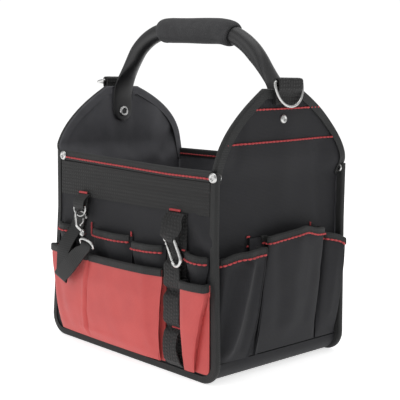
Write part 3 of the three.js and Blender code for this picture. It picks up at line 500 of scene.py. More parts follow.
def thick_sheet(outer, inner):
    """A closed sheet from the grids of points on its two faces."""
    rows, cols = outer.shape[:2]
    count = rows * cols
    index = np.arange(count).reshape(rows, cols)
    faces = [
        grid_faces(rows, cols, 0, False),
        grid_faces(rows, cols, count, True),
        rim_faces(index[0], count),
        rim_faces(index[:, -1], count),
        rim_faces(index[-1, ::-1], count),
        rim_faces(index[::-1, 0], count),
    ]
    across = np.linalg.norm(np.diff(outer, axis=1), axis=2)
    along = np.linalg.norm(np.diff(outer, axis=0), axis=2)
    u = np.concatenate([np.zeros((rows, 1)), np.cumsum(across, axis=1)], axis=1)
    v = np.concatenate([np.zeros((1, cols)), np.cumsum(along, axis=0)], axis=0)
    weave = np.stack([u, v], axis=-1).reshape(-1, 2)
    points = np.concatenate([outer.reshape(-1, 3), inner.reshape(-1, 3)])
    return points, np.concatenate(faces).tolist(), np.concatenate([weave, weave])


def grid_normals(grid):
    along = np.gradient(grid, axis=0)
    across = np.gradient(grid, axis=1)
    return unit(np.cross(along, across))


def thicken(grid, thickness, relief=0):
    """A sheet spread either side of one grid, with a relief of the same height on both faces."""
    half = (thickness / 2 + np.asarray(relief))[..., None] if np.ndim(relief) else thickness / 2
    normals = grid_normals(grid)
    return thick_sheet(grid + normals * half, grid - normals * half)


def tube_faces(count, sides, closed):
    """Faces between rings of points. An open row of rings has a face at each end."""
    faces = []
    for i in range(count if closed else count - 1):
        a, b = i * sides, (i + 1) % count * sides
        for k in range(sides):
            n = (k + 1) % sides
            faces.append([a + k, a + n, b + n, b + k])
    if not closed:
        faces.append(list(range(sides))[::-1])
        faces.append(list(range((count - 1) * sides, count * sides)))
    return faces


def sweep(line, normal, halves, sides, closed):
    """A bar along a line in one plane. halves has its two half sizes, in the plane and off it."""
    line = np.asarray(line, float)
    normal = unit(normal)
    if closed:
        tangent = np.roll(line, -1, axis=0) - np.roll(line, 1, axis=0)
    else:
        tangent = np.gradient(line, axis=0)
    side = unit(np.cross(unit(tangent), normal))
    angles = math.tau * np.arange(sides) / sides
    in_plane = halves[:, 0][:, None, None] * np.cos(angles)[None, :, None] * side[:, None, :]
    off_plane = halves[:, 1][:, None, None] * np.sin(angles)[None, :, None] * normal
    points = (line[:, None, :] + in_plane + off_plane).reshape(-1, 3)
    along = np.repeat(lengths(line), sides)
    around = np.tile(angles, len(line)) * halves.max()
    return points, tube_faces(len(line), sides, closed), np.stack([around, along], axis=1)


def wire(line, normal, radius, closed=False, sides=16):
    """Round wire. An open one has rounded ends."""
    line = np.asarray(line, float)
    radii = np.full(len(line), float(radius))
    if not closed:
        tips = np.radians([30, 60, 80])
        first = unit(line[0] - line[1])
        last = unit(line[-1] - line[-2])
        before = [line[0] + first * radius * math.sin(a) for a in tips[::-1]]
        after = [line[-1] + last * radius * math.sin(a) for a in tips]
        line = np.concatenate([before, line, after])
        radii = np.concatenate([radius * np.cos(tips[::-1]), radii, radius * np.cos(tips)])
    return sweep(line, normal, np.stack([radii, radii], axis=1), sides, closed)


def turned(profile, origin, axis, sides=28):
    """A turned piece from radius and height pairs, its axis along one direction."""
    axis = unit(axis)
    helper = np.array([0, 0, 1.0]) if abs(axis[2]) < 0.9 else np.array([1.0, 0, 0])
    first = unit(np.cross(axis, helper))
    second = np.cross(axis, first)
    angles = math.tau * np.arange(sides) / sides
    spokes = np.cos(angles)[:, None] * first + np.sin(angles)[:, None] * second
    points = np.concatenate([np.asarray(origin) + r * spokes + h * axis for r, h in profile])
    return points, tube_faces(len(profile), sides, False), np.zeros((len(points), 2))


def merge(shapes):
    """Several shapes as one."""
    points, faces, maps, start = [], [], [], 0
    for p, f, m in shapes:
        points.append(p)
        maps.append(m)
        faces.extend([[i + start for i in face] for face in f])
        start += len(p)
    return np.concatenate(points), faces, np.concatenate(maps)


def volume(points, faces):
    total = 0.0
    for face in faces:
        a, b, c = points[face[0]], points[face[1]], points[face[2]]
        total += a @ np.cross(b, c)
        if len(face) == 4:
            total += a @ np.cross(c, points[face[3]])
    return total


def add_mesh(name, shape, finish, sharp):
    points, faces, weave = shape
    if volume(points, faces) < 0:
        faces = [face[::-1] for face in faces]
    mesh = bpy.data.meshes.new(name)
    mesh.from_pydata((points * MM).tolist(), [], faces)
    corners = np.zeros(len(mesh.loops), np.int32)
    mesh.loops.foreach_get("vertex_index", corners)
    layer = mesh.uv_layers.new(name="weave")
    layer.data.foreach_set("uv", (weave[corners] * MM).astype(np.float32).ravel())
    mesh.shade_smooth()
    mesh.set_sharp_from_angle(angle=math.radians(sharp))
    mesh.materials.append(FINISHES[finish])
    obj = bpy.data.objects.new(name, mesh)
    bpy.context.scene.collection.objects.link(obj)
    return obj


def piece(node, shape, finish, body="bag", sharp=48):
    """A visible piece that stands for one CAD node."""
    obj = add_mesh(f"{node}_fine", shape, finish, sharp)
    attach(obj, body)
    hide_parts(node)
    SLOTS.get(finish, finish)
    return obj


def second_finish(obj, finish, chosen):
    """Another finish on the faces that chosen picks by their centre and normal."""
    obj.data.materials.append(FINISHES[finish])
    for face in obj.data.polygons:
        if chosen(np.array(face.center) / MM, np.array(face.normal)):
            face.material_index = 1


def trim(name, shapes, finish):
    """Sewing that has no CAD node of its own."""
    obj = add_mesh(name, merge(shapes), finish, 80)
    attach(obj, "bag")
    SLOTS.get(finish, finish)
    return obj


# Stitches along a line on a face, each one a short arched thread.
def stitch_row(line, normals, length=STITCH, gap=STITCH_GAP, thread=THREAD):
    along = lengths(line)
    count = max(1, int((along[-1] + gap) // (length + gap)))
    pitch = (along[-1] + gap) / count
    shares = np.linspace(0, 1, 7)
    shapes = []
    for i in range(count):
        at = i * pitch + shares * (pitch - gap)
        middle = np.stack([np.interp(at, along, line[:, k]) for k in range(3)], axis=1)
        out = np.stack([np.interp(at, along, normals[:, k]) for k in range(3)], axis=1)
        rise = thread * (0.9 * np.sin(np.pi * shares) - 0.35)
        radii = thread * np.sqrt(np.sin(np.pi * (0.1 + 0.8 * shares)))
        halves = np.stack([radii, radii], axis=1)
        facing = unit(out.mean(axis=0))
        shapes.append(sweep(middle + out * rise[:, None], facing, halves, 8, False))
    return shapes


def bar_tack(start, end, out, width):
    """Close short stitches across a line, as at the end of a seam."""
    start, end, out = np.asarray(start, float), np.asarray(end, float), unit(out)
    along = end - start
    count = max(3, round(np.linalg.norm(along) / TACK["pitch"]))
    across = unit(np.cross(out, along)) * width / 2
    lean = unit(along) * TACK["lean"]
    shapes = []
    for i in range(count):
        middle = start + along * (i + 0.5) / count
        line = np.stack([middle - across - lean, middle, middle + across + lean])
        shapes += stitch_row(line, np.stack([out] * 3), length=2 * width, thread=TACK["thread"])
    return shapes


def tack_rows(rows, place, out):
    """Bar tacks on one face, from the first to the second value of along and z."""
    shapes = []
    for row in rows:
        start, end = (place(along, z, row["depth"]) for along, z in zip(row["along"], row["z"]))
        shapes += bar_tack(start, end, out, row["width"])
    return shapes


# The faces that the pieces are sewn to. depth is the distance off the cloth.
def side_pinch(y, z, side):
    """How far the bag's side is drawn in, from its front corner to its back one."""
    pinch = PINCH[name_of(side)]
    depth = lerp(pinch["front"], pinch["back"], ramp(y, -FRONT_DEPTH, FRONT_DEPTH))
    return depth * ramp(z, CORNER, PINCH_TOP)


def edge_x(z, side, facing):
    return side * (HALF_WIDTH - side_pinch(facing * FRONT_DEPTH, z, side))


def arch_x(side):
    return END_X + FLARE[name_of(side)]


def top_lift(x, z, facing):
    """The front's top edge is drawn up a little toward its left corner."""
    share = ramp(x, *TOP_LIFT["x"]) * smooth(ramp(z, *TOP_LIFT["z"]))
    return TOP_LIFT["height"] * share * (facing < 0)


def bulge(shape, along, z):
    """A panel's soft swell, most at its middle."""
    across = np.maximum(0, 1 - (along / shape["half"]) ** 2)
    return shape["depth"] * across * np.sin(np.pi * ramp(z, *shape["z"]))


def face_point(x, z, depth, facing):
    x, z, depth = np.broadcast_arrays(x, z, depth)
    out = FRONT_DEPTH + bulge(FRONT_BULGE, x, z) + depth
    return point(x, facing * out, z + top_lift(x, z, facing))


def front_point(x, z, depth):
    return face_point(x, z, depth, -1)


def back_point(x, z, depth):
    return face_point(x, z, depth, 1)


def end_point(side):
    """Places on one end. Above the front's top edge the panel stands free and flares out."""
    name = name_of(side)

    def place(y, z, depth):
        y, z, depth = np.broadcast_arrays(y, z, depth)
        free = smooth(ramp(z, *FREE_Z))
        base = END_X - side_pinch(y, z, side) * (1 - free) + FLARE[name] * free
        foot = smooth(ramp(z, *BACK_FOOT["rise"])) * (1 - smooth(ramp(z, *BACK_FOOT["fall"])))
        corner = BACK_FOOT[name] * smooth(ramp(y, *BACK_FOOT["y"])) * foot
        return point(side * (base + bulge(END_BULGE, y, z) + corner + depth), y, z)

    return place


def fold_relief(s, z, folds):
    """Ridges and valleys along straight lines, as distance off the cloth."""
    relief = np.zeros(np.broadcast(s, z).shape)
    for fold in folds:
        start = np.array(fold["from"], float)
        run = np.array(fold["to"], float) - start
        share = np.clip(((s - start[0]) * run[0] + (z - start[1]) * run[1]) / (run @ run), 0, 1)
        away = np.hypot(s - start[0] - share * run[0], z - start[1] - share * run[1])
        relief = relief + fold["depth"] * np.exp(-((away / fold["width"]) ** 2))
    return relief


# Shell panels. Each fold runs from one place to another, as distance along the panel and height.
PANEL_FOLDS = table(
    "from to width depth",
    ((94, 142), (110, 126), 8, 3.6),
    ((90, 119), (114, 113), 6, -1.4),
    ((-34, 140), (40, 132), 9, -0.8),
)
END_FOLDS = {
    "right": table(
        "from to width depth",
        ((-54, 224), (-60, 194), 7, -1.4),
        ((8, 224), (2, 150), 14, 1.2),
        ((52, 204), (58, 140), 10, -1.6),
        ((-66, 178), (-30, 142), 8, 1),
    ),
    "left": table(
        "from to width depth",
        ((-22, 244), (-18, 195), 9, -1.8),
        ((20, 238), (14, 192), 9, 2),
        ((46, 228), (40, 190), 11, -2.2),
        ((74, 206), (58, 184), 7, 3),
    ),
}


def panel(place, facing):
    """The front or back panel, with rounded lower corners."""
    radius = CORNER - PANEL_INSET
    top = FRONT_TOP - PANEL_INSET
    turn = np.radians(np.linspace(0, 90, 10))
    low_half = HALF_WIDTH - CORNER + radius * np.sin(turn)
    high = np.append(np.arange(CORNER + 3, top, PANEL_GRID["step"]), top)
    z = np.concatenate([CORNER - radius * np.cos(turn), high])[:, None]
    left = np.concatenate([-low_half, edge_x(high, -1, facing) + PANEL_INSET])[:, None]
    right = np.concatenate([low_half, edge_x(high, 1, facing) - PANEL_INSET])[:, None]
    x = lerp(left, right, np.linspace(0, 1, PANEL_GRID["columns"])[None, :])
    depth = 0.25 * ripple(x / 26, z / 30) + fold_relief(x, z, PANEL_FOLDS)
    return thick_sheet(place(x, z, depth), place(x, z, depth - PANEL))


def arch_side(side, facing, steps=40):
    """One half of an arch's edge from its foot to the flat top, as y and z."""
    shape = ARCH[name_of(side)]["front" if facing < 0 else "back"]
    t = np.linspace(1, 0, steps)
    u = 1 - t
    y = u * u * shape["flat"] + 2 * u * t * shape["bend_y"] + t * t * shape["foot"]
    z = u * u * ARCH_TOP + 2 * u * t * shape["bend_z"] + t * t * ARCH_FOOT
    return np.stack([facing * y, z], axis=1)


def arch_line(side):
    """The arch's edge from its front foot over the top to its back foot."""
    return np.concatenate([arch_side(side, -1), arch_side(side, 1)[::-1]])


def end_panel(side):
    """An end panel: straight sides up to the front's top edge, then the arch."""
    place = end_point(side)
    z_low = np.append(np.arange(BASE_TURN + GAP, ARCH_FOOT - 2, PANEL_GRID["step"]), ARCH_FOOT - GAP)
    edges = []
    for facing in (-1, 1):
        edge = arch_side(side, facing)
        tangent = unit(np.gradient(edge, axis=0))
        inward = facing * np.stack([-tangent[:, 1], tangent[:, 0]], axis=1)
        low = np.stack([np.full(len(z_low), facing * END_HALF), z_low], axis=1)
        edges.append(np.concatenate([low, (edge + inward * PANEL_INSET)[1:]])[:, None, :])
    grid = lerp(*edges, np.linspace(0, 1, PANEL_GRID["columns"])[None, :, None])
    y, z = grid[..., 0], grid[..., 1]
    depth = bulge(END_LOOSE, y, z) * ripple(y / 34, z / 30)
    depth = depth + fold_relief(y, z, END_FOLDS[name_of(side)])
    return thick_sheet(place(y, z, depth), place(y, z, depth - END_PANEL))


def base_panel():
    """The bottom, turned up at both ends and a little proud there."""
    turn = np.radians(np.linspace(90, 0, 14))

    def line(inset):
        radius = BASE_CORNER - inset
        x = np.append(END_X - inset, END_X - BASE_CORNER + radius * np.sin(turn))
        z = np.append(BASE_TURN, BASE_CORNER - radius * np.cos(turn))
        floor = np.linspace(x[-1], -x[-1], 30)[1:-1]
        across = np.concatenate([x, floor, -x[::-1]])
        return across[None, :], np.concatenate([z, np.full(len(floor), z[-1]), z[::-1]])[None, :]

    half = FRONT_DEPTH - PANEL - TAPE_INSET
    y = np.linspace(-half, half, 24)[:, None]
    outer_x, outer_z = line(0)
    inner_x, inner_z = line(END_PANEL)
    outer_x = outer_x + np.sign(outer_x) * BASE_PROUD * ramp(outer_z, *BASE_PROUD_Z)
    return thick_sheet(point(outer_x, y, outer_z), point(inner_x, y, inner_z))


# Folded binding tape: a rounded U over an edge. n runs down from the fold and h across it.
def tape_section(low, high, leg):
    """The tape's outer and inner face, as n and h from one leg's end over the fold to the other's."""
    half = (high - low) / 2 + TAPE_INSET
    radius = min(half, TAPE_FOLD)
    turn = np.radians(np.linspace(0, 90, 6))
    straight = np.linspace(leg, radius, 6)[:-1]
    n = np.concatenate([straight, radius - radius * np.sin(turn)])
    h = np.concatenate([np.full_like(straight, half), half - radius + radius * np.cos(turn)])
    out_n = np.concatenate([np.zeros_like(straight), -np.sin(turn)])
    out_h = np.concatenate([np.ones_like(straight), np.cos(turn)])
    first = np.stack([n, h, out_n, out_h])
    second = first[:, ::-1] * np.array([[1], [-1], [1], [-1]])
    section = np.concatenate([first, second], axis=1)
    outer = section[:2] + np.array([[0], [(high + low) / 2]])
    return outer, outer - TAPE * section[2:]


def folded_tape(locate, section):
    """Tape along a path. locate(n, h) gives the points for rows of n and h, one row a step."""
    return thick_sheet(*(locate(n[None, :], h[None, :]) for n, h in section))


def tape_stitches(locate, n, h):
    line = locate(np.array([[n]]), np.array([[h]]))[:, 0]
    above = locate(np.array([[n]]), np.array([[h + 1]]))[:, 0]
    return stitch_row(line, unit(above - line))


def leg_waves(height, phase, seed, n):
    """Small waves in a tape's legs, none at its fold."""
    return height * ripple(phase, seed) * ramp(n, 0, TAPE_EVEN)


def seam_locate(facing):
    """The bound edge of the front or back: down one side, along the bottom, up the other."""
    turn = np.radians(np.linspace(90, 0, 14))
    z_up = np.linspace(FRONT_TOP - 1, CORNER + 2, 50)
    flat = HALF_WIDTH - CORNER

    def half(side):
        edge = edge_x(z_up, side, facing)
        lifted = z_up + top_lift(edge, z_up, facing)
        straight = np.stack([edge, lifted, np.full_like(edge, -side), np.zeros_like(edge)], axis=1)
        x = side * (flat + CORNER * np.sin(turn))
        z = CORNER - CORNER * np.cos(turn)
        return np.concatenate([straight, np.stack([x, z, -side * np.sin(turn), np.cos(turn)], axis=1)])

    floor_x = np.linspace(-flat, flat, 62)[1:-1]
    level = np.zeros_like(floor_x)
    floor = np.stack([floor_x, level, level, level + 1], axis=1)
    path = np.concatenate([half(-1), floor, half(1)[::-1]])
    x, z, in_x, in_z = (path[:, [k]] for k in range(4))
    along = lengths(path[:, :2])[:, None]

    def locate(n, h):
        uneven = leg_waves(0.22, along / 13, facing, n)
        return point(x + in_x * n, facing * (FRONT_DEPTH + h + uneven), z + in_z * n)

    return locate


def top_locate(facing):
    """The front's or back's top edge, between the seam's two ends."""
    left = edge_x(FRONT_TOP, -1, facing) + SEAM_LEG + GAP
    right = edge_x(FRONT_TOP, 1, facing) - SEAM_LEG - GAP
    x = np.linspace(left, right, 70)[:, None]
    top = FRONT_TOP + top_lift(x, FRONT_TOP, facing)

    def locate(n, h):
        uneven = leg_waves(0.25, x / 14, facing, n)
        return point(x, facing * (FRONT_DEPTH + h + uneven), top - n)

    return locate


def arch_locate(side):
    """An arch's edge, with a tail down behind the panel at each foot."""
    edge = arch_line(side)
    tail = np.array([0, ARCH_TAIL])
    line = resample([edge[0] - tail, *edge, edge[-1] - tail], 2.4)
    tangent = unit(np.gradient(line, axis=0))
    inward = np.stack([tangent[:, 1], -tangent[:, 0]], axis=1)
    place = end_point(side)
    along = lengths(line)[:, None]

    def locate(n, h):
        uneven = leg_waves(0.25, along / 12, side, n)
        return place(line[:, [0]] + inward[:, [0]] * n, line[:, [1]] + inward[:, [1]] * n, h + uneven)

    return locate, line


def arch_binding(side):
    """Folded tape over the arch. The handle's flat end takes the inner leg's place where it passes."""
    locate, line = arch_locate(side)
    by_handle = (np.abs(line[:, 0]) < TAB["half"] + GAP)[:, None]
    grids = []
    for n, h in tape_section(-END_PANEL - GAP, GAP, TAPE_LEG):
        short = np.where(h < -END_PANEL, np.minimum(n, TAPE), n)
        flush = np.maximum(h, -END_PANEL)
        grids.append(locate(np.where(by_handle, short, n), np.where(by_handle, flush, h)))
    return thick_sheet(*grids)


# Pockets. Each column has its place along the panel at the pocket's top and foot, how far it
# stands off as a share of the row's depth, and any rise of its top.
RED_LARGE = {
    "profile": table(
        "top foot stand",
        (-110.6, -104.6, 0),
        (-115.4, -102, 0.5),
        (-92, -88, 0.85),
        (-66, -66, 1),
        (-20, -20, 1.1),
        (30, 30, 1),
        (57.6, 51, 0.58),
        (60.6, 53.6, 0.52),
        (57, 48.6, 0.1),
        (60.2, 57.4, 0),
    ),
    "rows": table(
        "z depth open",
        (POCKET_FOOT, 4, 0),
        (14, 6.5, 0.06),
        (22, 9.5, 0.15),
        (42, 12.5, 0.4),
        (68, 12.5, 0.7),
        (95.4, 11, 1),
    ),
    "folds": table(
        "from to width depth",
        ((-42.6, 88), (-49, 14), 1.7, -2.2),
        ((-46.4, 88), (-52.8, 14), 2.4, 0.9),
        ((-100, 66), (-86, 18), 7, -0.8),
        ((46, 30), (20, 13), 7, -1.2),
        ((-58, 20), (30, 15), 4, 0.8),
        ((40, 84), (44, 26), 5, 0.9),
    ),
}
RED_SMALL = {
    "profile": table(
        "top foot stand",
        (86.4, 86.4, 0),
        (87.8, 87.4, 0.85),
        (91, 88.8, 1),
        (98.6, 93, 1.05),
        (112, 97.6, 0.94),
        (116.6, 100, 0.74),
        (115, 97, 0.1),
        (115.2, 106, 0.16),
        (115.2, 115.4, 0),
    ),
    "rows": table(
        "z depth open",
        (POCKET_FOOT, 4, 0),
        (14, 5, 0.06),
        (30, 7.5, 0.25),
        (60, 10.2, 0.65),
        (90, 10.6, 1),
    ),
    "folds": table(
        "from to width depth",
        ((93, 74), (90, 24), 4, 0.5),
        ((108, 40), (104, 14), 5, 1.2),
    ),
}
MID_ROWS = table(
    "z depth open",
    (62, 0.4, 0),
    (80, 1.2, 0.3),
    (97, 3, 0.6),
    (119, 7.4, 1),
)
MID_SPANS = table(
    "name from to narrow drop",
    ("1", -105, -83, 3, (0, 1)),
    ("2", -49, 11.6, 0, (0, 0)),
    ("3", 12.4, 59.2, 8, (5, 3)),
    ("4", 87, 113.4, 8, (4, 6)),
)
MID_STANDS = {0: 0, 0.12: 0.62, 0.38: 1, 0.64: 1, 0.88: 0.62, 1: 0}
END_LOW = {
    "profile": table(
        "top foot stand rise",
        (-79.6, -79.2, 0, -2),
        (-76, -74, 0.55, 0.5),
        (-60, -60, 0.95, 4.5),
        (-34.8, -44, 1.05, 6.5),
        (-38.4, -47, 0.5, 6.5),
    ),
    "rows": table(
        "z depth open",
        (END_POCKET_FOOT, 2.4, 0),
        (45, 9, 0.3),
        (78, 12.5, 0.65),
        (112, 14, 1),
    ),
    "folds": table(
        "from to width depth",
        ((-54, 99), (-71, 26), 5, 4.4),
        ((-66, 98), (-79, 36), 6, -4),
        ((-44, 98), (-55, 30), 4, -1.6),
    ),
}
END_MID = {
    "profile": table(
        "top foot stand rise",
        (-42, -44, 0.1, -1),
        (-23, -31.5, 0.14, -0.8),
        (-26.6, -34.8, 0.74, -0.6),
        (-20, -26, 0.88, 0),
        (6, 6, 1, 3.2),
        (20, 19, 1.04, 5),
        (35, 33, 1.06, 1.8),
        (47.5, 44, 0.9, 0.9),
        (52, 49, 0, 0.4),
    ),
    "rows": table(
        "z depth open",
        (END_POCKET_FOOT, 0.4, 0),
        (48, 5.5, 0.28),
        (88, 9.5, 0.63),
        (127, 12, 1),
    ),
    "folds": table(
        "from to width depth",
        ((-14, 112), (-6, 50), 8, -1.6),
        ((12, 114), (10, 44), 9, 1.2),
        ((36, 110), (30, 46), 7, -0.9),
    ),
}
END_BACK = {
    "profile": table(
        "top foot stand rise",
        (54.6, 51, 0, 1),
        (57.2, 53.6, 0.5, 0.5),
        (70.5, 66, 0.9, -2.5),
        (78.2, 77, 1.05, -6),
        (79.8, 79.4, 0, -6),
    ),
    "rows": table(
        "z depth open",
        (END_POCKET_FOOT, 0.4, 0),
        (50, 7, 0.3),
        (88, 11.5, 0.68),
        (121, 13, 1),
    ),
    "folds": table(
        "from to width depth",
        ((70, 106), (66, 44), 4, 0.7),
    ),
}


def mid_pocket(span):
    """A black pocket behind the red ones, narrower at its foot."""
    profile = []
    for share, stand in MID_STANDS.items():
        top = lerp(span["from"], span["to"], share)
        foot = lerp(span["from"] + span["narrow"], span["to"] - span["narrow"], share)
        profile.append({"top": top, "foot": foot, "stand": stand, "rise": -lerp(*span["drop"], share)})
    middle = (span["from"] + span["to"]) / 2
    folds = [{"from": (middle - 6, 112), "to": (middle - 2, 84), "width": 5, "depth": -0.7}]
    return {"profile": profile, "rows": MID_ROWS, "folds": folds}


def free_half(z, side):
    """How far from the middle the front's face is free of its bindings."""
    radius = CORNER - SEAM_LEG
    drop = np.clip(CORNER - z, 0, radius)
    return side * edge_x(z, side, -1) - CORNER + np.sqrt(radius**2 - drop**2) - GAP


def with_keys(keys, step):
    """Evenly spaced values with the keys among them."""
    even = np.linspace(keys[0], keys[-1], math.ceil((keys[-1] - keys[0]) / step) + 1)
    far = [v for v in even if np.abs(np.asarray(keys) - v).min() > step / 4]
    return np.sort(np.concatenate([far, keys]))


def pocket_lines(shape, step=1.9):
    """The pocket's outer face: s along the panel, d off it and z, each as rows up the pocket, and
    the column that each place is at, counted in the profile."""
    profile, rows = shape["profile"], shape["rows"]
    top_row = rows[-1]
    keys = [*rows[:-1], {**top_row, "z": top_row["z"] - POCKET_LEG}, top_row]
    heights = [row["z"] for row in keys]
    z = with_keys(heights, step)[:, None]
    depth = pchip(heights, [row["depth"] for row in keys], z)
    opened = pchip(heights, [row["open"] for row in keys], z)
    names = ("top", "foot", "stand", "rise")
    column = {key: np.array([c.get(key, 0) for c in profile], float) for key in names}
    places = lengths(np.stack([column["top"], column["stand"] * top_row["depth"]], axis=1))
    at = with_keys(places, step)
    top, foot, stand, rise = (pchip(places, column[key], at)[None, :] for key in names)
    s = lerp(foot, top, opened)
    below = np.minimum(z, top_row["z"] - POCKET_LEG - 1)
    free = ramp(stand, 0, FOLD_STAND) * ramp(below, heights[0], heights[0] + FOLD_FOOT)
    soft = fold_relief(s, below, shape["folds"]) + 0.3 * ripple(s / 9, below / 13)
    d = GAP + CLOTH + np.maximum(0, stand * depth + soft * free)
    clear = GAP + TAPE_INSET + GAP + CLOTH
    inside = np.clip(s, -free_half(z, -1), free_half(z, 1))
    columns = np.interp(at, places, np.arange(len(places)))
    return np.where(d < clear, inside, s), d, z + rise * opened, columns


def offset_line(s, d, distance):
    """Lines moved sideways in the plane of s and d, toward the panel."""
    along_s = np.gradient(s, axis=1)
    along_d = np.gradient(d, axis=1)
    size = np.hypot(along_s, along_d)
    return s + along_d / size * distance, d - along_s / size * distance


def pocket(place, shape):
    s, d, z, _ = pocket_lines(shape)
    inner_s, inner_d = offset_line(s, d, CLOTH)
    return thick_sheet(place(s, z, d), place(inner_s, z, np.maximum(inner_d, GAP)))


def pocket_binding(place, shape, last=99, clear=2.4):
    """Tape on the pocket's top edge up to one column, left off where it is too near the panel."""
    *lines, columns = pocket_lines(shape, step=1.6)
    s, d, z = (rows[-1:] for rows in lines)
    s, d = offset_line(s, d, CLOTH / 2)
    keep = (d[0] >= clear) & (columns <= last)
    s, d, z = s[:, keep], d[:, keep], z[:, keep]
    along_s, along_d = np.gradient(s[0]), np.gradient(d[0])
    size = np.hypot(along_s, along_d)
    out_s, out_d = (-along_d / size)[:, None], (along_s / size)[:, None]
    s, d, z = s.T, d.T, z.T

    def locate(n, h):
        return place(s + out_s * h, z + TAPE_INSET - n, d + out_d * h)

    return locate, tape_section(-CLOTH / 2, CLOTH / 2, POCKET_LEG)


# Webbing: ribs across its length, as relief on both faces.
def ribs(cols, along, pitch, height):
    """Rib heights for a strap's grid, staggered from the middle to the edges."""
    across = np.linspace(-1, 1, cols)[None, :]
    phase = along[:, None] / pitch + 0.18 * np.cos(np.pi * across * 2)
    edge = 1 - smooth(ramp(np.abs(across), 0.82, 1))
    return height * (0.5 + 0.5 * np.sin(math.tau * phase)) * lerp(0.35, 1, edge)


def webbing(line, across, half, thickness, pitch=3.4, height=0.5, cols=17):
    """A strap along a line of points. across is the direction of its width."""
    share = np.linspace(-1, 1, cols)
    half = np.broadcast_to(np.asarray(half, float), len(line))
    grid = line[:, None, :] + share[None, :, None] * half[:, None, None] * np.asarray(across, float)
    relief = ribs(cols, lengths(line), pitch, height) - height
    return thicken(grid, thickness, relief / 2)


SEWN_DEPTH = 2.9
STRAP_ROWS = table(
    "z x half depth turn",
    (148.4, 73, 11.6, SEWN_DEPTH),
    (143.5, 74, 11.2, 8, 0.1),
    (136.5, 77, 10.4, 12, 0.28),
    (130, 75.6, 9.2, 13.2, 0.28),
    (125.5, 73.4, 5.4, 12.2),
    (122, 74.2, 3.9, 7.8),
    (118.6, 75.2, 3.3, 5.6),
    (112, 74.6, 8, 4.2),
    (107, LOOP["x"], LOOP["half"], SEWN_DEPTH),
    (102, LOOP["x"], LOOP["half"], 7.6),
    (93, LOOP["x"] + 1.8, LOOP["half"], 9.2),
    (84, LOOP["x"], LOOP["half"], 8),
    (79, LOOP["x"], LOOP["half"], SEWN_DEPTH),
    (73, LOOP["x"], LOOP["half"], 8),
    (62, LOOP["x"] + 1.8, LOOP["half"], 9.6),
    (51, LOOP["x"], LOOP["half"], 8),
    (45, LOOP["x"], LOOP["half"], SEWN_DEPTH),
    (40, LOOP["x"] - 1.2, 9.2, 7.5),
    (28, LOOP["x"] - 1.4, 8.8, 9.5),
    (16, LOOP["x"], LOOP["half"], 8),
    (10, LOOP["x"], LOOP["half"], SEWN_DEPTH),
)


def strap_loops():
    """Front webbing, sewn down at the tacks and gathered where it passes through the clip."""
    keys = [-row["z"] for row in STRAP_ROWS]
    z = np.linspace(STRAP_ROWS[0]["z"], STRAP_ROWS[-1]["z"], 300)
    names = ("x", "half", "depth", "turn")
    x, half, depth, turn = (pchip(keys, [row.get(key, 0) for row in STRAP_ROWS], -z) for key in names)
    across = np.stack([np.ones_like(z), turn, np.zeros_like(z)], axis=1)[:, None, :]
    return webbing(front_point(x, z, depth), across, half, STRAP["thickness"])


def strap_backing():
    z = np.linspace(STRAP["bottom"], STRAP["top"], 250)
    line = front_point(STRAP["x"], z, GAP + STRAP["thickness"] / 2)
    return webbing(line, (1, 0, 0), STRAP["half"], STRAP["thickness"] - 0.2)


def front_band():
    """Wide coarse webbing under the top edge, in small raised checks."""
    x = np.linspace(BAND["left"], BAND["right"], 380)[:, None]
    z = np.linspace(BAND["bottom"], BAND["top"], 40)[None, :]
    grid = front_point(x, z, GAP + BAND["thickness"] / 2)
    checks = np.sin(math.tau * x / BAND_CHECK["size"]) * np.sin(math.tau * z / BAND_CHECK["size"])
    return thicken(grid, BAND["thickness"], BAND_CHECK["relief"] * (checks - 1))


def ring_bar(side):
    out = arch_x(side) + TAPE_INSET + GAP + RING_WEB["thickness"] + RING["room"]
    return np.array([side * out, 0, RING["z"]])


def ring_loop(side):
    """Webbing up the end panel, over the ring's bar and down again, both ends sewn down."""
    bar = ring_bar(side)
    thickness, foot = RING_WEB["thickness"], RING_WEB["foot"]
    reach = RING["room"] + thickness / 2
    sewn = thickness + GAP - reach
    rows = [(-reach, foot), (-reach, RING_WEB["bend"]), *arc((0, RING["z"]), reach, 180, 20, 5)]
    rows += [(reach * 0.9, RING_WEB["over"]), (sewn, RING_WEB["sewn"]), (sewn, foot)]
    line = resample([(bar[0] + side * out, 0, z) for out, z in rows], 0.5)
    return webbing(line, (0, 1, 0), RING_WEB["half"], thickness)


# Wire pieces.
def d_ring(origin, across, down, half, drop, radius):
    """A straight bar, short sides and a round bow. down is the way that the bow hangs."""
    corner = radius * 1.1
    start = corner + RING_SIDE
    flat = arc((half - corner, corner), corner, -90, 0, 6)
    for angle in np.radians(np.linspace(0, 180, 36)):
        flat.append((half * math.cos(angle), start + (drop - start) * math.sin(angle)))
    flat += arc((-half + corner, corner), corner, 180, 270, 6)
    flat += [(x, 0) for x in np.linspace(-half + corner, half - corner, 12)[1:-1]]
    across, down = np.asarray(across, float), np.asarray(down, float)
    line = [origin + across * a + down * d for a, d in flat]
    return wire(line, np.cross(across, down), radius, closed=True)


def end_ring(side, lift):
    angle = math.radians(lift)
    down = (side * math.sin(angle), 0, -math.cos(angle))
    return d_ring(ring_bar(side), (0, 1, 0), down, RING["half"], RING["drop"], RING["wire"])


def carabiner_plane():
    lean, slope = math.radians(CARABINER_LEAN), math.radians(CARABINER_SLOPE)
    up = np.array([-math.sin(lean) * math.cos(slope), math.sin(slope), math.cos(lean) * math.cos(slope)])
    right = np.array([math.cos(lean), 0, math.sin(lean)])
    centre = front_point(CARABINER["x"], CARABINER["z"], CARABINER["depth"])
    return (lambda u, v: centre + right * u + up * v), unit(np.cross(right, up))


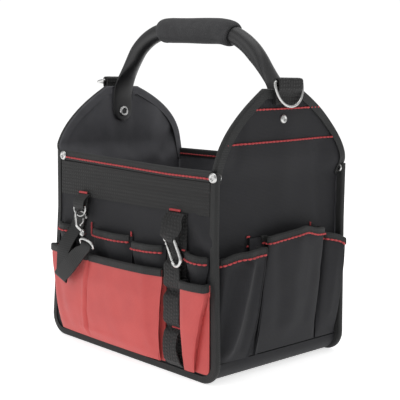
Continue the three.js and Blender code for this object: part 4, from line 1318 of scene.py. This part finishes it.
def carabiner():
    place, normal = carabiner_plane()
    half, straight = CARABINER["half"], CARABINER["straight"]
    flat = [(-half, GATE["high"] + GATE["room"]), (-half, straight - 0.6)]
    flat += arc((0, straight), half, 180, 0, 20)
    flat += [(half, v) for v in np.linspace(straight, -straight, 8)[1:-1]]
    flat += arc((0, -straight), half, 0, -180, 20)
    flat.append((-half, GATE["low"] - GATE["room"]))
    return wire([place(u, v) for u, v in flat], normal, CARABINER["wire"])


def carabiner_gate():
    place, normal = carabiner_plane()
    line = [place(-CARABINER["half"], GATE[row["end"]] + row["away"]) for row in GATE_ROWS]
    radii = np.array([[row["radius"]] * 2 for row in GATE_ROWS])
    return sweep(line, normal, radii, 16, False)


def hook_plane():
    up = unit(HOOK_UP)
    right = np.array([0.45, 1, 0])
    right = unit(right - up * (right @ up))
    held = front_point(TAB_RING["x"], TAB_RING["z"], TAB_RING["depth"])
    origin = held + np.array([HOOK["aside"], 0, -TAB_RING["drop"]]) + up * HOOK["raise"]
    return (lambda u, v: origin + right * u + up * v), up, unit(np.cross(right, up))


def snap_hook():
    place, up, normal = hook_plane()
    r, foot = HOOK["radius"], HOOK["foot"]
    shank = resample([(0, foot + 3.5), (-1.2, foot + 7), (-r, -13), (-r, -4), (-r, -0.4)], 1)
    flat = [*map(tuple, shank), *arc((0, 0), r, 180, 0, 18), (r, -1.6), (r, -3.2)]
    bar = wire([place(u, v) for u, v in flat], normal, HOOK["wire"])
    swivel = turned([tuple(row.values()) for row in SWIVEL], place(0, foot), up)
    return merge([bar, swivel])


def snap_hook_gate():
    place, _, normal = hook_plane()
    r = HOOK["radius"]
    flat = resample([(r - 3.1, -5), (r - 3.2, -7), (1, -10.6), HOOK_GATE_PIVOT], 0.8)
    radii = pchip([0, 0.55, 1], [1.2, 1.2, 0.9], np.linspace(0, 1, len(flat)))
    return sweep([place(u, v) for u, v in flat], normal, np.stack([radii, radii], axis=1), 14, False)


EYE_ACROSS = unit((1, 0, -0.12))  # along the eye's bar
EYE_UP = unit((0.11, -0.41, 0.9))  # from the eye's bar to the hook


def eye_bar():
    place, _, _ = hook_plane()
    top = place(0, HOOK["foot"] - EYE["below"]) + EYE_ACROSS * EYE["aside"]
    return top - EYE_UP * EYE["drop"]


# The ribbon and its tab.
def tape_tab():
    """Ribbon sewn on under the band, down round the ring's bar and up again."""
    depth, thickness = TAB_RING["depth"], RIBBON["thickness"]
    reach = TAB_RING["wire"] + 0.5 + thickness / 2
    rows = [(TAPE_TAB["depth"], TAPE_TAB["top"]), (depth - reach, TAPE_TAB["bend"])]
    rows += arc((depth, TAB_RING["z"]), reach, 180, 360, 5)
    rows.append((depth + reach - 0.6, TAPE_TAB["bend"]))
    rows.append((TAPE_TAB["depth"] + thickness + GAP, TAPE_TAB["top"]))
    flat = resample(rows, 0.8)
    line = front_point(TAB_RING["x"], flat[:, 1], flat[:, 0])
    return webbing(line, (1, 0, 0), TAPE_TAB["half"], thickness, pitch=1.3, height=0.12)


RIBBON_ROWS = table(
    "x z y tip",
    (-70, 148, -86.9, 0),
    (-72, 134, -87.4, 2),
    (-74.4, 123, -88.6, 3),
    (-77, 113, -93.6, 3),
    (-79, 103, -100, 4),
    (-80.6, 93, -103.6, 4),
    (-81.4, 76, -104.2, 5),
    (-80.6, 66.4, -106, 6),
    (-77.6, 69.5, -109.4, 7),
    (-62.4, 82.4, -110, 10),
)


def tape_strap():
    """Ribbon sewn on under the tab, over the pockets, folded and brought up round the eye."""
    bar = eye_bar()
    wrap = EYE["wire"] + WRAP_ROOM + RIBBON["thickness"] / 2
    gathered = (RIBBON_END["tip"], RIBBON_END["half"])
    rows = [(r["x"], r["y"], r["z"], r["tip"], RIBBON["half"]) for r in RIBBON_ROWS]
    rows.append((bar[0] - 7, bar[1] - wrap - 1, bar[2] - 6, 6, 8.6))
    rows += [(bar[0], y, z, *gathered) for y, z in arc(bar[1:], wrap, 180, 0, 5)]
    rows.append((bar[0] - 2, bar[1] + wrap, bar[2] - 3, *gathered))
    rows = resample(rows, 0.9)
    middle, tip, half = rows[:, None, :3], rows[:, [3]], rows[:, [4]]
    share = np.linspace(-1, 1, 15)[None, :]
    level = np.sqrt(half**2 - (tip / 2) ** 2)
    grid = middle + point(share * level, 0, -share * tip / 2)
    return thicken(grid, RIBBON["thickness"]), lengths(rows[:, :3])[-1]


# Handle.
def handle_slant(x, z):
    return HANDLE_SLANT * x * ramp(z, *SLANT_Z)


def handle_side(side):
    """Half of the tube's line, from the middle of the grip down to one tab."""
    tab_x = arch_x(side) - END_PANEL - GAP - TAB["thickness"] / 2
    level = HANDLE_STRAIGHT[name_of(side)]
    line = [(x, HANDLE_TOP) for x in np.linspace(0, level, 12)]

    def bend(turn):
        x, z = line[-1]
        start, radius = math.radians(turn["from"]), turn["radius"]
        for angle in np.radians(np.linspace(turn["from"], turn["to"], 22))[1:]:
            across = x + radius * (math.sin(angle) - math.sin(start))
            line.append((across, z - radius * (math.cos(start) - math.cos(angle))))

    bend(BEND_UPPER)
    knee_x, knee_z = line[-1]
    turn = math.radians(BEND_LOWER["from"])
    bend_x = tab_x - BEND_LOWER["radius"] * (1 - math.sin(turn))
    for t in np.linspace(0, 1, 5)[1:]:
        line.append((lerp(knee_x, bend_x, t), knee_z - (bend_x - knee_x) * t * math.tan(turn)))
    bend(BEND_LOWER)
    upper = TAB["bottom"] + TAB["round"]
    straight = np.linspace(line[-1][1], upper, 14)[1:]
    rounding = upper - TAB["round"] * np.sin(np.radians([20, 40, 55, 70, 80, 90]))
    line += [(tab_x, z) for z in (*straight, *rounding)]
    return [(side * x, z) for x, z in line]


def handle_line():
    flat = handle_side(-1)[:0:-1] + handle_side(1)
    return np.array([(x, 0, z - handle_slant(x, z)) for x, z in flat])


def tube_halves(z):
    """Round at the top, pressed flat over the last bend, rounded off at the foot of the tab."""
    ease = smooth(ramp(z, *PRESSED_Z))
    foot = ramp(z, TAB["bottom"] + TAB["round"], TAB["bottom"])
    across = lerp(TUBE, TAB["half"], ease) * np.sqrt(1 - 0.85 * foot * foot)
    return np.stack([lerp(TUBE, TAB["thickness"] / 2, ease), across], axis=1)


def handle_tube():
    line = handle_line()
    return sweep(line, (0, 1, 0), tube_halves(line[:, 2]), 32, False)


def handle_grip():
    """The foam sleeve, softly rounded at both ends, with the tube's bore through it."""
    left, right = GRIP["left"], GRIP["right"]
    tip = [tuple(row.values()) for row in GRIP_TIP]
    middle = np.linspace(-left + 14, right - 14, 26)
    stations = [(t - left, r) for t, r in tip[::-1]]
    stations += [(s, GRIP["radius"] + 0.12 * math.sin(s / 9)) for s in middle]
    stations += [(right - t, r) for t, r in tip]
    stations += [(s, GRIP["bore"]) for s in np.linspace(right - 4, -left + 4, 14)]
    stations = np.array(stations)
    s = stations[:, 0]
    level = np.where(s > 0, HANDLE_STRAIGHT["right"], HANDLE_STRAIGHT["left"])
    turn = np.maximum(0, np.abs(s) - level) / BEND_UPPER["radius"]
    x = np.sign(s) * (np.minimum(np.abs(s), level) + BEND_UPPER["radius"] * np.sin(turn))
    z = HANDLE_TOP - BEND_UPPER["radius"] * (1 - np.cos(turn))
    return sleeve(point(x, 0 * x, z - handle_slant(x, z)), turn * np.sign(s), stations[:, 1])


def sleeve(line, turn, radii, sides=36):
    """Rings round a bent line, out along its outside and back along its bore."""
    angles = math.tau * np.arange(sides) / sides
    lean = turn + math.atan(HANDLE_SLANT)
    out = np.stack([np.sin(lean), 0 * lean, np.cos(lean)], axis=1)
    spokes = np.cos(angles)[None, :, None] * out[:, None, :]
    spokes = spokes + np.sin(angles)[None, :, None] * np.array([0, 1, 0])
    points = (line[:, None, :] + radii[:, None, None] * spokes).reshape(-1, 3)
    return points, tube_faces(len(line), sides, True), np.zeros((len(points), 2))


def rivet(node, size, grip, origin, inward):
    """A domed head with a sunk middle, a shank, and a rolled collar inside, its hole's inside painted
    black as painted shade.
    """
    head, shank, collar = size["head"], size["shank"], size["collar"]
    dome = [(head * row["share"], row["height"]) for row in RIVET_DOME]
    roll = [(collar * row["share"], grip + row["height"]) for row in RIVET_ROLL]
    middle = [(shank, -GAP), (shank, grip + GAP)]
    profile = [(0.1, dome[0][1]), *dome, *middle, *roll, (0.1, roll[-1][1])]
    obj = piece(node, turned(profile, origin, inward), "metal")
    origin, inward = np.asarray(origin, float), np.asarray(inward, float)

    def in_hole_painted_shade(centre, normal):
        along = (centre - origin) @ inward
        return along > grip and np.linalg.norm(centre - origin - along * inward) < collar * 0.51

    # The hole's inside takes the black tube paint: painted shade, the metal there being dark only from
    # shade.
    second_finish(obj, "tube", in_hole_painted_shade)


def build_shell():
    red = []
    for name, facing, place in (("front", -1, front_point), ("back", 1, back_point)):
        wall = piece(f"{name}_panel", panel(place, facing), "cloth")
        # Inward faces take the lining finish, partly painted light: lightened for the light they miss.
        second_finish(wall, "lining_with_painted_light", lambda centre, normal: normal[1] * facing < -0.5)
        seam = folded_tape(seam_locate(facing), tape_section(-PANEL, 0, SEAM_LEG))
        piece(f"{name}_seam_binding", seam, "binding")
        locate = top_locate(facing)
        piece(f"{name}_top_binding", folded_tape(locate, tape_section(-PANEL, 0, TAPE_LEG)), "binding")
        red += tape_stitches(locate, TOP_STITCHES, TAPE_INSET)
        red += tape_stitches(lambda n, h: locate(n, -PANEL - h), TOP_STITCHES, TAPE_INSET)
    piece("base_panel", base_panel(), "cloth")
    piece("front_band", front_band(), "webbing")
    trim("stitches_top", red, "thread")


def build_pocket(node, binding, place, shape):
    """A black pocket, its binding and the stitches along the binding's lower edge."""
    piece(node, pocket(place, shape), "cloth")
    locate, section = pocket_binding(place, shape)
    piece(binding, folded_tape(locate, section), "binding")
    return tape_stitches(locate, POCKET_LEG - 0.4, CLOTH / 2 + TAPE_INSET)


def build_red_pocket(node, shape, **span):
    """A red pocket and its binding. span says how far along the top the binding goes."""
    piece(node, pocket(front_point, shape), "red_cloth")
    piece(f"{node}_binding", folded_tape(*pocket_binding(front_point, shape, **span)), "binding")


def build_front_pockets():
    build_red_pocket("red_pocket_large", RED_LARGE, last=8)
    build_red_pocket("red_pocket_small", RED_SMALL, last=8, clear=0.9)
    red = []
    for span in MID_SPANS:
        node, binding = (f"mid_pocket_{part}{span['name']}" for part in ("", "binding_"))
        red += build_pocket(node, binding, front_point, mid_pocket(span))
    trim("stitches_mid", red, "thread")


FRONT_TACKS = table(
    "along z depth width",
    ((63, 77.5), (150.4, 150.4), 2, 2.2),
    ((70.5, 83), (45.2, 45.2), 4, 1.6),
    ((80.5, 84.5), (116, 116), 2, 1.6),
    ((-71, -58), (153.4, 153.4), 4.2, 2.2),
    ((-53.5, -53.5), (113, 125), 1.4, 2),
    ((9.4, 9.4), (117, 123.4), 1.6, 2),
)


def build_straps():
    piece("strap_backing", strap_backing(), "webbing")
    piece("strap_loops", strap_loops(), "webbing")
    piece("carabiner", carabiner(), "metal")
    piece("carabiner_gate", carabiner_gate(), "metal", "clip_gate")
    piece("tape_tab", tape_tab(), "binding")
    bar = front_point(TAB_RING["x"], TAB_RING["z"], TAB_RING["depth"])
    ring = d_ring(bar, (1, 0, 0), (0, 0, -1), TAB_RING["half"], TAB_RING["drop"], TAB_RING["wire"])
    piece("tape_d_ring", ring, "metal")
    piece("snap_hook", snap_hook(), "metal")
    piece("snap_hook_gate", snap_hook_gate(), "metal", "hook_gate")
    eye = d_ring(eye_bar(), EYE_ACROSS, EYE_UP, EYE["half"], EYE["drop"], EYE["wire"])
    piece("snap_hook_eye", eye, "metal")
    shape, length = tape_strap()
    ribbon = piece("tape_strap", shape, "binding")
    trim("tacks_front", tack_rows(FRONT_TACKS, front_point, (0, -1, 0)), "thread")


END_STITCHES = table(
    "y z",
    ((-38, 49.5), (239.5, 241.4)),
    ((-73, 69), (209.5, 213)),
)
END_TACKS = table(
    "along z depth width",
    ((-43.8, -40), (119, 119), 1, 1.8),
    ((-43.8, -40), (127.4, 127.4), 1, 1.8),
    ((42.4, 42.4), (129.4, 133), 0.6, 1.8),
)


def build_end(name, side):
    place = end_point(side)
    wall = piece(f"end_panel_{name}", end_panel(side), "cloth")
    tape = piece(f"arch_binding_{name}", arch_binding(side), "binding")
    # Inward faces of the end and of the arch tape take the lightened lining finish: partly painted light
    # on the panel, and only painted light on the tape's inner leg.
    for obj in (wall, tape):
        second_finish(obj, "lining_with_painted_light", lambda centre, normal: normal[0] * side < -0.5)
    red = []
    for where, shape in (("low", END_LOW), ("mid", END_MID), ("back", END_BACK)):
        node = f"end_pocket_{name}_{where}"
        red += build_pocket(node, f"{node}_binding", place, shape)
    for row in END_STITCHES:
        y = np.linspace(*row["y"], 60)
        depth = fold_relief(y, np.full_like(y, row["z"][0]), END_FOLDS[name]) + 0.5
        line = place(y, np.linspace(*row["z"], 60), depth)
        red += stitch_row(line, np.tile([float(side), 0, 0], (60, 1)))
    red += tack_rows(END_TACKS, place, (side, 0, 0))
    trim(f"stitches_{name}", red, "thread")
    piece(f"d_ring_loop_{name}", ring_loop(side), "webbing")
    piece(f"d_ring_{name}", end_ring(side, RING_LIFT[name]), "metal", f"ring_{name}")
    held = END_PANEL + GAP + TAB["thickness"]
    origin = (side * arch_x(side), 0, HANDLE_RIVET_Z)
    rivet(f"handle_rivet_{name}", HANDLE_RIVET, held, origin, (-side, 0, 0))


def build_handle():
    piece("handle_tube", handle_tube(), "tube")
    grip = piece("handle_grip", handle_grip(), "foam")
    held = PANEL + 2 * TAPE_INSET
    for corner in CORNER_RIVETS:
        facing = corner["facing"]
        height = corner["z"] + top_lift(corner["x"], corner["z"], facing)
        origin = (corner["x"], facing * (FRONT_DEPTH + TAPE_INSET), height)
        rivet(f"corner_rivet_{corner['name']}", CORNER_RIVET[facing], held, origin, (0, -facing, 0))


build_shell()
build_front_pockets()
build_straps()
for end_name, end_side in SIDES.items():
    build_end(end_name, end_side)
build_handle()


# Studio, in metres: a pale floor, a white surround and soft lights.
FLOOR_HALF = 6
SURROUND = {"light": 0.45, "seen": 1.05}  # strengths
AIM = (0, 0, 0.14)


def add_floor():
    corners = [(FLOOR_HALF * x, FLOOR_HALF * y, 0) for x, y in ((-1, -1), (1, -1), (1, 1), (-1, 1))]
    mesh = bpy.data.meshes.new("floor")
    mesh.from_pydata(corners, [], [(0, 1, 2, 3)])
    material, tree = tree_of("pale_floor")
    set_shader(tree, Base_Color=(0.92, 0.92, 0.92, 1), Roughness=0.9, Specular_IOR_Level=0.1)
    set_shader(tree, Emission_Color=(1, 1, 1, 1), Emission_Strength=0.68)
    mesh.materials.append(material)
    floor = bpy.data.objects.new("floor", mesh)
    bpy.context.scene.collection.objects.link(floor)


def add_surround():
    world = bpy.data.worlds.new("surround")
    world.use_nodes = True
    tree = world.node_tree
    background = tree.nodes["Background"]
    background.inputs["Color"].default_value = (1, 1, 1, 1)
    path = tree.nodes.new("ShaderNodeLightPath")
    strength = spread(tree, path.outputs["Is Camera Ray"], SURROUND["light"], SURROUND["seen"])
    tree.links.new(strength, background.inputs["Strength"])
    bpy.context.scene.world = world


LIGHTS = table(
    "name place size power",
    ("key", (-0.55, -1.5, 1.0), 1.1, 5.9),
    ("fill", (1.25, 0.75, 0.95), 0.9, 0.7),
    ("top", (0.1, 0.1, 1.7), 1.4, 9),
    ("rear", (-0.5, 1.5, 1.0), 1.2, 3),
)


def add_lights():
    for light in LIGHTS:
        data = bpy.data.lights.new(light["name"], "AREA")
        data.size = light["size"]
        data.energy = light["power"]
        lamp = bpy.data.objects.new(light["name"], data)
        aim = Vector(AIM) - Vector(light["place"])
        lamp.rotation_mode = "QUATERNION"
        lamp.rotation_quaternion = aim.to_track_quat("-Z", "Y")
        lamp.location = light["place"]
        bpy.context.scene.collection.objects.link(lamp)


add_floor()
add_surround()
add_lights()
bpy.context.scene.view_settings.view_transform = "Standard"
